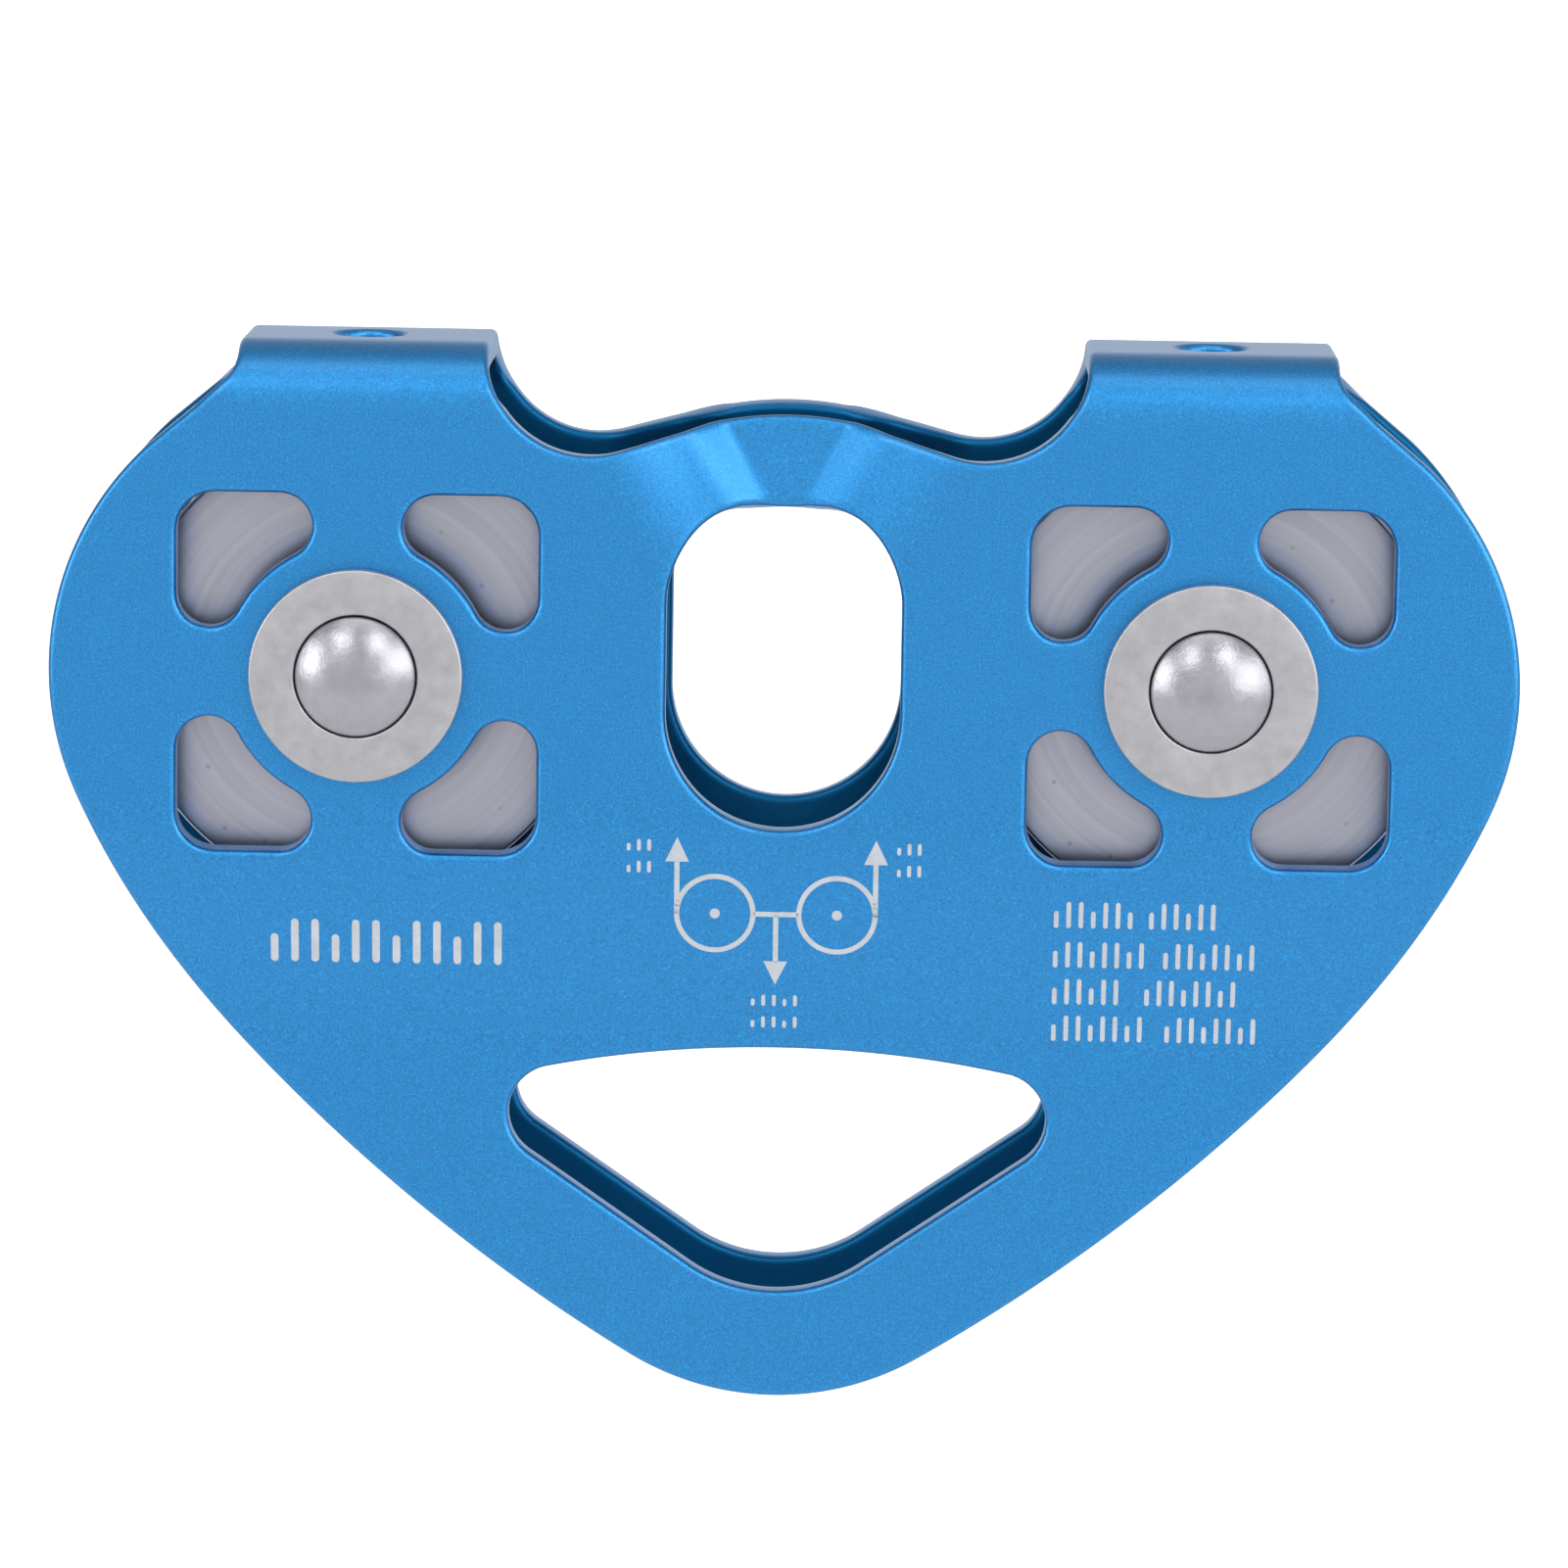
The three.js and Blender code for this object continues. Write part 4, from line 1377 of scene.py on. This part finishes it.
@dataclass
class WheelSet:
    """Everything on one axle: the sheave on its bearing, the rivet, its washers and its spacers."""

    hand: Hand
    steps: int = 128
    hidden_steps: int = 96
    fit: float = 0.15
    running_gap: float = 0.3
    plate_y: float = 14.5
    inner_plate_y: float = 11.1
    sheave_radius: float = 27.8
    sheave_half: float = 8.4
    groove_radius: float = 6.7
    groove_bottom: float = 20.5
    rim_bevel: float = 0.3
    bearing_radius: float = 14.0
    bearing_half: float = 4.0
    axle_radius: float = 6.0
    pitch_radius: float = 10.0
    ball_radius: float = 2.3
    balls: int = 8
    race_shoulder: float = 1.5
    shield_thickness: float = 0.45
    cage_half: float = 0.55
    cage_half_width: float = 3.1
    snap_thickness: float = 1.0
    snap_width: float = 1.9
    snap_depth: float = 0.8
    snap_opening: float = 14.0
    lip_radius: float = 12.2
    spacer_radius: float = 8.3
    washer_radius: float = 12.55
    washer_thickness: float = 1.8
    recess_radius: float = 7.2
    recess_depth: float = 0.7
    head_radius: float = 7.05
    head_height: float = 2.6

    def _placed(self, piece: bpy.types.Object, edge: float = 0.0) -> bpy.types.Object:
        """Rounds a turned piece's edges and moves its mesh onto this hand's axle.

        Args:
            piece: the piece, centred on the origin.
            edge: width of the rounding in millimetres, 0 for none.

        Returns:
            The same piece.
        """
        if edge:
            bevel_edges(piece, edge * MM)
        piece.data.transform(Matrix.Translation(self.hand.axle))
        smooth_shading(piece)
        return piece

    def _name(self, word: str) -> str:
        """A piece's name, with this hand's word first."""
        return f"{self.hand.word}_{word}"

    def _ring(self, word: str, section: list[tuple[float, float]], edge: float,
              steps: int) -> bpy.types.Object:
        """Turns a ring and places it on this hand's axle.

        Args:
            word: the ring's name, without the hand's word.
            section: radius and y of each corner, in millimetres.
            edge: width of its edges' rounding, in millimetres.
            steps: how many steps make the full turn.

        Returns:
            The finished ring.
        """
        return self._placed(turned(self._name(word), section, steps), edge)

    def sheave(self) -> bpy.types.Object:
        """The grooved wheel, with a stepped bore that seats the bearing.

        Returns:
            The sheave.
        """
        groove_centre = self.groove_bottom + self.groove_radius
        rim = math.degrees(math.asin((groove_centre - self.sheave_radius) / self.groove_radius))
        groove = arc(groove_centre, 0, self.groove_radius, 270 - rim, 90 + rim, 0.5)
        seat = self.bearing_radius + self.fit
        lip = -self.bearing_half - self.fit
        snap_low = self.bearing_half + self.fit
        snap_high = snap_low + self.snap_thickness + 2 * self.fit
        half, bevel, outer = self.sheave_half, self.rim_bevel, self.sheave_radius
        section = [(self.lip_radius, -half), (outer - bevel, -half), (outer, -half + bevel), *groove,
                   (outer, half - bevel), (outer - bevel, half), (seat, half), (seat, snap_high),
                   (seat + self.snap_depth, snap_high), (seat + self.snap_depth, snap_low),
                   (seat, snap_low), (seat, lip), (self.lip_radius, lip)]
        return self._ring("grooved_sheave", section, 0.2, self.steps)

    def axle(self) -> bpy.types.Object:
        """The rivet: a plain pin with a domed head pressed up at each end.

        Returns:
            The rivet.
        """
        washer_face = self.plate_y + self.fit + self.washer_thickness
        head_base = washer_face - self.recess_depth + self.fit
        dome_base = washer_face + self.fit
        rise = self.head_height - self.fit
        radius = (self.head_radius**2 + rise**2) / (2 * rise)
        spread = math.degrees(math.asin(self.head_radius / radius))
        dome = arc(0, dome_base + rise - radius, radius, 90 - spread, 90, 0.35)
        half = [(self.axle_radius, head_base), (self.head_radius, head_base)] + dome
        section = [(r, -y) for r, y in reversed(half)] + half
        section[0] = (0.0, section[0][1])
        section[-1] = (0.0, section[-1][1])
        return self._placed(turned(self._name("rivet_axle"), section, self.steps, closed=False), 0.25)

    def washer(self, face: Face) -> bpy.types.Object:
        """A ring washer with a rounded rim and a shallow recess round the rivet head.

        Args:
            face: which face of the pulley it is on.

        Returns:
            The washer.
        """
        bore = self.axle_radius + self.fit
        back = self.plate_y + self.fit
        front = back + self.washer_thickness
        floor = front - self.recess_depth
        section = [(bore, back), (self.washer_radius, back), (self.washer_radius, front),
                   (self.recess_radius, front), (self.recess_radius, floor), (bore, floor)]
        return self._ring(f"{face.word}_ring_washer", facing(face, section), 0.28, self.steps)

    def spacer(self, face: Face) -> bpy.types.Object:
        """The plain sleeve between the bearing's inner ring and a plate.

        Args:
            face: which face's plate it reaches.

        Returns:
            The sleeve.
        """
        near, far = self.bearing_half + self.fit, self.inner_plate_y - self.fit
        bore = self.axle_radius + self.fit
        section = [(bore, near), (self.spacer_radius, near), (self.spacer_radius, far), (bore, far)]
        return self._ring(f"{face.word}_sleeve", facing(face, section), 0.3, self.hidden_steps)

    def race(self, side: int) -> bpy.types.Object:
        """One bearing ring.

        Args:
            side: -1 for the inner ring and 1 for the outer ring.

        Returns:
            The ring.
        """
        track = self.ball_radius + self.running_gap
        mouth = math.degrees(math.acos(self.race_shoulder / track))
        facing = 180 if side < 0 else 0
        groove = arc(self.pitch_radius, 0, track, facing - side * mouth, facing + side * mouth, 0.3)
        back = self.axle_radius + self.fit if side < 0 else self.bearing_radius
        shoulder = self.pitch_radius + side * self.race_shoulder
        half = self.bearing_half
        section = [(back, half), (back, -half), (shoulder, -half), *groove, (shoulder, half)]
        word = "inner_race" if side < 0 else "outer_race"
        return self._ring(word, section, 0.25, self.hidden_steps)

    def shield(self, face: Face) -> bpy.types.Object:
        """The thin bearing shield, dished by a shallow step halfway across.

        Args:
            face: which side of the bearing it is on.

        Returns:
            The shield.
        """
        inner = self.pitch_radius - self.race_shoulder + self.running_gap
        outer = self.pitch_radius + self.race_shoulder - self.fit
        far = self.bearing_half - self.fit
        near = far - self.shield_thickness
        middle, slope, dish = (inner + outer) / 2, 0.25, 0.15
        section = [(inner, near), (middle - slope, near), (middle + slope, near), (outer, near),
                   (outer, far), (middle + slope, far), (middle - slope, far - dish), (inner, far - dish)]
        return self._ring(f"{face.word}_shield", facing(face, section), 0.06, self.hidden_steps)

    def snap_ring(self) -> bpy.types.Object:
        """The open spring ring that keeps the bearing in the sheave.

        Returns:
            The spring ring.
        """
        outer = self.bearing_radius + self.snap_depth - self.fit
        inner = outer - self.snap_width
        low = self.bearing_half + 2 * self.fit
        opening = self.snap_opening
        rim = arc(0, 0, outer, opening, 360 - opening, 0.8) + arc(0, 0, inner, 360 - opening, opening, 0.8)
        points = np.array([(x, low, z) for x, z in rim]) * MM
        piece = mesh_object(self._name("spring_ring"), points, [], [tuple(range(len(points)))])
        thicken(piece, (0, self.snap_thickness * MM, 0))
        return self._placed(piece, 0.12)

    def cage(self) -> bpy.types.Object:
        """The ball cage: a thin ring with a round pocket cut for each ball.

        Returns:
            The cage.
        """
        inner, outer = self.pitch_radius - self.cage_half, self.pitch_radius + self.cage_half
        width = self.cage_half_width
        section = [(inner, -width), (outer, -width), (outer, width), (inner, width)]
        piece = turned(self._name("cage_ring"), section, self.hidden_steps)
        pocket_radius = (self.ball_radius + self.running_gap) * MM
        deselect()
        bpy.ops.mesh.primitive_cylinder_add(vertices=40, radius=pocket_radius, depth=4 * MM)
        cutter = bpy.context.object
        shape = cutter.data.copy()
        cutter.data.clear_geometry()
        for number in range(self.balls):
            turn = Matrix.Rotation(2 * math.pi * number / self.balls, 4, "Y")
            pocket = shape.copy()
            pocket.transform(turn @ Matrix.Translation((0, 0, self.pitch_radius * MM)))
            block = bpy.data.objects.new("pocket", pocket)
            bpy.context.scene.collection.objects.link(block)
            cut = piece.modifiers.new("Pocket", "BOOLEAN")
            cut.operation, cut.object, cut.solver = "DIFFERENCE", block, "EXACT"
            only(piece)
            bpy.ops.object.modifier_apply(modifier=cut.name)
            bpy.data.objects.remove(block)
        bpy.data.objects.remove(cutter)
        return self._placed(piece)

    def ball(self, number: int) -> bpy.types.Object:
        """One ball, at its place in the cage.

        Args:
            number: the ball's number, from 0.

        Returns:
            The ball.
        """
        turn = 2 * math.pi * number / self.balls
        offset = Vector((math.sin(turn), 0, math.cos(turn))) * self.pitch_radius * MM
        deselect()
        bpy.ops.mesh.primitive_ico_sphere_add(subdivisions=2, radius=self.ball_radius * MM)
        piece = bpy.context.object
        piece.name = piece.data.name = self._name(f"bearing_ball_{number + 1}")
        bpy.ops.object.mode_set(mode="EDIT")
        bpy.ops.mesh.select_all(action="SELECT")
        bpy.ops.mesh.subdivide(number_cuts=2)
        bpy.ops.transform.tosphere(value=1.0)
        bpy.ops.object.mode_set(mode="OBJECT")
        radii = [v.co.length for v in piece.data.vertices]
        scale = self.ball_radius * MM / (sum(radii) / len(radii))
        piece.data.transform(Matrix.Translation(self.hand.axle + offset) @ Matrix.Scale(scale, 4))
        smooth_shading(piece, 180.0)
        return piece


@dataclass(frozen=True)
class Workshop:
    def fit(self, piece: bpy.types.Object, body: str, slot: str, finish: bpy.types.Material,
            node: str | None) -> None:
        """Gives a piece its finish and its body, and hides the node that it stands for.

        Args:
            piece: the finished piece.
            body: the body that it rides on.
            slot: the record's material slot; not used.
            finish: its material.
            node: the node that it replaces, or None.
        """
        piece.data.materials.clear()
        piece.data.materials.append(finish)
        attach(piece, body)
        if node:
            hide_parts(node)
        LOG.info("%s: %d faces, rides on %s", piece.name, len(piece.data.polygons), body)


# ---------------------------------------------------------------------- studio


@dataclass
class Studio:
    """A white room: a pale floor below, a bright surround, soft boxes and the camera."""

    floor_drop: float = 0.5
    floor_size: float = 60.0
    camera_place: tuple[float, float, float] = (0.01279, -0.850, 0.09581)
    yaw: float = 0.856
    pitch: float = 9.169
    roll: float = 0.918
    lens: float = 165.7
    sensor: float = 36.0

    def build(self) -> None:
        """Builds the floor, the surround, the lights and the camera."""
        bpy.context.scene.view_settings.view_transform = "Standard"
        self._floor()
        self._surround()
        self._soft_box("left_box", (-1.25, -0.75, 0.25), (0.5, 0.8), 6.0)
        self._soft_box("right_box", (1.2, -0.95, 0.3), (1.1, 0.9), 7.5)
        self._soft_box("left_spot", (-0.5, -1.05, 0.85), (0.3, 0.45), 3.0)
        self._soft_box("right_spot", (0.5, -1.05, 0.85), (0.3, 0.45), 3.0)
        self._soft_box("top_box", (0.0, -0.5, 1.4), (1.2, 0.6), 3.0)
        self._camera()

    def _camera(self) -> None:
        """Makes the camera, a long lens that looks slightly down on the front of the pulley."""
        yaw, pitch, roll = (math.radians(a) for a in (self.yaw, self.pitch, self.roll))
        ahead = Vector((-math.sin(yaw) * math.cos(pitch), math.cos(yaw) * math.cos(pitch), -math.sin(pitch)))
        level = Vector((math.cos(yaw), math.sin(yaw), 0.0))
        above = level.cross(ahead)
        right = level * math.cos(roll) + above * math.sin(roll)
        up = above * math.cos(roll) - level * math.sin(roll)
        data = bpy.data.cameras.new("camera")
        data.lens, data.sensor_width = self.lens, self.sensor
        data.clip_start, data.clip_end = 0.01, 100.0
        camera = bpy.data.objects.new("camera", data)
        turn = Matrix((right, up, -ahead)).transposed().to_4x4()
        camera.matrix_world = Matrix.Translation(self.camera_place) @ turn
        bpy.context.scene.collection.objects.link(camera)
        bpy.context.scene.camera = camera

    def _floor(self) -> None:
        """Makes the pale floor, low enough to take no shadow in view.

        Mirrored in the plates it is dimmer than it looks, and it brightens towards the front.
        """
        deselect()
        bpy.ops.mesh.primitive_plane_add(size=self.floor_size, location=(0, 0, -self.floor_drop))
        floor = bpy.context.object
        floor.name = "studio_floor"
        material = bpy.data.materials.new("pale_floor")
        material.use_nodes = True
        graph = Graph(material.node_tree)
        lit = graph.add("BsdfDiffuse", {"Color": (0.8, 0.8, 0.8, 1.0)})
        seen = graph.add("LightPath").outputs["Is Camera Ray"]
        _, y, _ = graph.add("SeparateXYZ", {0: graph.add("TexCoord").outputs["Object"]}).outputs
        unseen = graph.math("MULTIPLY_ADD", graph.stretch(y, -1.0, -5.0), 0.26, 0.25)
        strength = graph.math("MAXIMUM", seen, unseen)
        glow = graph.add("Emission", {"Color": (1.0, 1.0, 1.0, 1.0), "Strength": strength})
        shader = graph.add("AddShader", {0: lit.outputs[0], 1: glow.outputs[0]})
        graph.add("OutputMaterial", {0: shader.outputs[0]})
        floor.data.materials.append(material)

    def _surround(self) -> None:
        """Makes the surround: white, but dimmer overhead, to the left, behind and where the camera stands."""
        world = bpy.data.worlds.new("surround")
        bpy.context.scene.world = world
        world.use_nodes = True
        graph = Graph(world.node_tree)
        way = graph.add("TexCoord").outputs["Generated"]
        x, y, z = graph.add("SeparateXYZ", {0: way}).outputs
        overhead = graph.math("MULTIPLY", graph.stretch(z, 0.1, 0.6), 0.6)
        behind = graph.math("MULTIPLY", graph.stretch(y, 0.0, 0.6), 0.25)
        front = graph.math("MULTIPLY", graph.stretch(y, -0.55, -1.0), 0.05)
        aside = graph.math("MULTIPLY", graph.stretch(x, -0.35, -0.75), 0.75)
        shade = overhead
        for part in (aside, behind, front):
            shade = graph.math("MAXIMUM", shade, part)
        strength = graph.math("SUBTRACT", 1.05, shade)
        background = graph.add("Background", {"Color": (1.0, 1.0, 1.0, 1.0), "Strength": strength})
        graph.add("OutputWorld", {0: background.outputs[0]})

    def _soft_box(self, name: str, place: tuple[float, float, float], size: tuple[float, float],
                  power: float) -> None:
        """Adds one soft box that faces the pulley.

        Args:
            name: the light's name.
            place: where its middle is, in metres.
            size: its width and height, in metres.
            power: its power in watts.
        """
        data = bpy.data.lights.new(name, "AREA")
        data.shape = "RECTANGLE"
        data.size, data.size_y = size
        data.energy = power
        light = bpy.data.objects.new(name, data)
        light.location = place
        light.rotation_euler = (-Vector(place)).to_track_quat("-Z", "Y").to_euler()
        bpy.context.scene.collection.objects.link(light)


# ------------------------------------------------------------------------ main


def build_wheel_set(hand: Hand, effects: Effects, satin_steel: bpy.types.Material,
                    rivet_steel: bpy.types.Material, shop: Workshop) -> None:
    """Builds everything on one axle and dresses it.

    Args:
        hand: which axle.
        effects: the shared effect groups.
        satin_steel: the washers' material.
        rivet_steel: the rivet's material.
        shop: dresses the pieces.
    """
    wheels = WheelSet(hand)
    word = hand.word
    wheel, train = f"{word}_wheel", f"{word}_ball_train"
    turned_finish = TurnedSteel(f"{word}_turned_steel", (0.42, 0.42, 0.48), 0.36, centre=hand.axle)
    ground_finish = TurnedSteel(f"{word}_ground_steel", (0.55, 0.56, 0.60), 0.24, centre=hand.axle)
    turned_steel = turned_finish.material(effects)
    bright_steel = ground_finish.material(effects)
    shop.fit(wheels.sheave(), wheel, "sheave_steel", turned_steel, f"{word}_sheave")
    shop.fit(wheels.axle(), FRAME_BODY, "rivet_steel", rivet_steel, f"{word}_axle")
    shop.fit(wheels.race(1), wheel, "bearing_steel", bright_steel, f"{word}_bearing_outer_ring")
    shop.fit(wheels.race(-1), FRAME_BODY, "bearing_steel", bright_steel, f"{word}_bearing_inner_ring")
    shop.fit(wheels.snap_ring(), wheel, "bearing_steel", bright_steel, f"{word}_snap_ring")
    shop.fit(wheels.cage(), train, "bearing_steel", bright_steel, f"{word}_ball_cage")
    for number in range(wheels.balls):
        shop.fit(wheels.ball(number), train, "bearing_steel", bright_steel, f"{word}_ball_{number + 1}")
    for face in Face:
        shop.fit(wheels.washer(face), FRAME_BODY, "washer_steel", satin_steel, f"{word}_{face.word}_washer")
        shop.fit(wheels.spacer(face), FRAME_BODY, "bearing_steel", bright_steel, f"{word}_{face.word}_spacer")
        shield_node = f"{word}_{face.word}_bearing_shield"
        shop.fit(wheels.shield(face), wheel, "bearing_steel", bright_steel, shield_node)


def main() -> None:
    """Builds the studio and every piece."""
    logging.basicConfig(level=logging.INFO, format="%(message)s")
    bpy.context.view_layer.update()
    Studio().build()
    effects = Effects()
    shop = Workshop()
    blue = BlueAnodised("satin_blue", (0.009, 0.245, 0.60), 0.42).material(effects)
    satin_steel = TumbledSteel("satin_steel", (0.47, 0.465, 0.49), 0.42).material(effects)
    rivet_steel = PressedRivet("pressed_rivet", (0.40, 0.392, 0.43), 0.34).material(effects)
    marks = TumbledSteel("engraved_metal", (0.50, 0.53, 0.57), 0.6, metallic=0.4).material(effects)
    sheet = PressedSheet()
    shop.fit(Frame(sheet, Outlines(sheet)).build(), FRAME_BODY, "blue_anodised", blue, "frame")
    for group in Markings(sheet).build():
        shop.fit(group, FRAME_BODY, "washer_steel", marks, None)
    for hand in Hand:
        build_wheel_set(hand, effects, satin_steel, rivet_steel, shop)


if __name__ == "__main__":
    main()
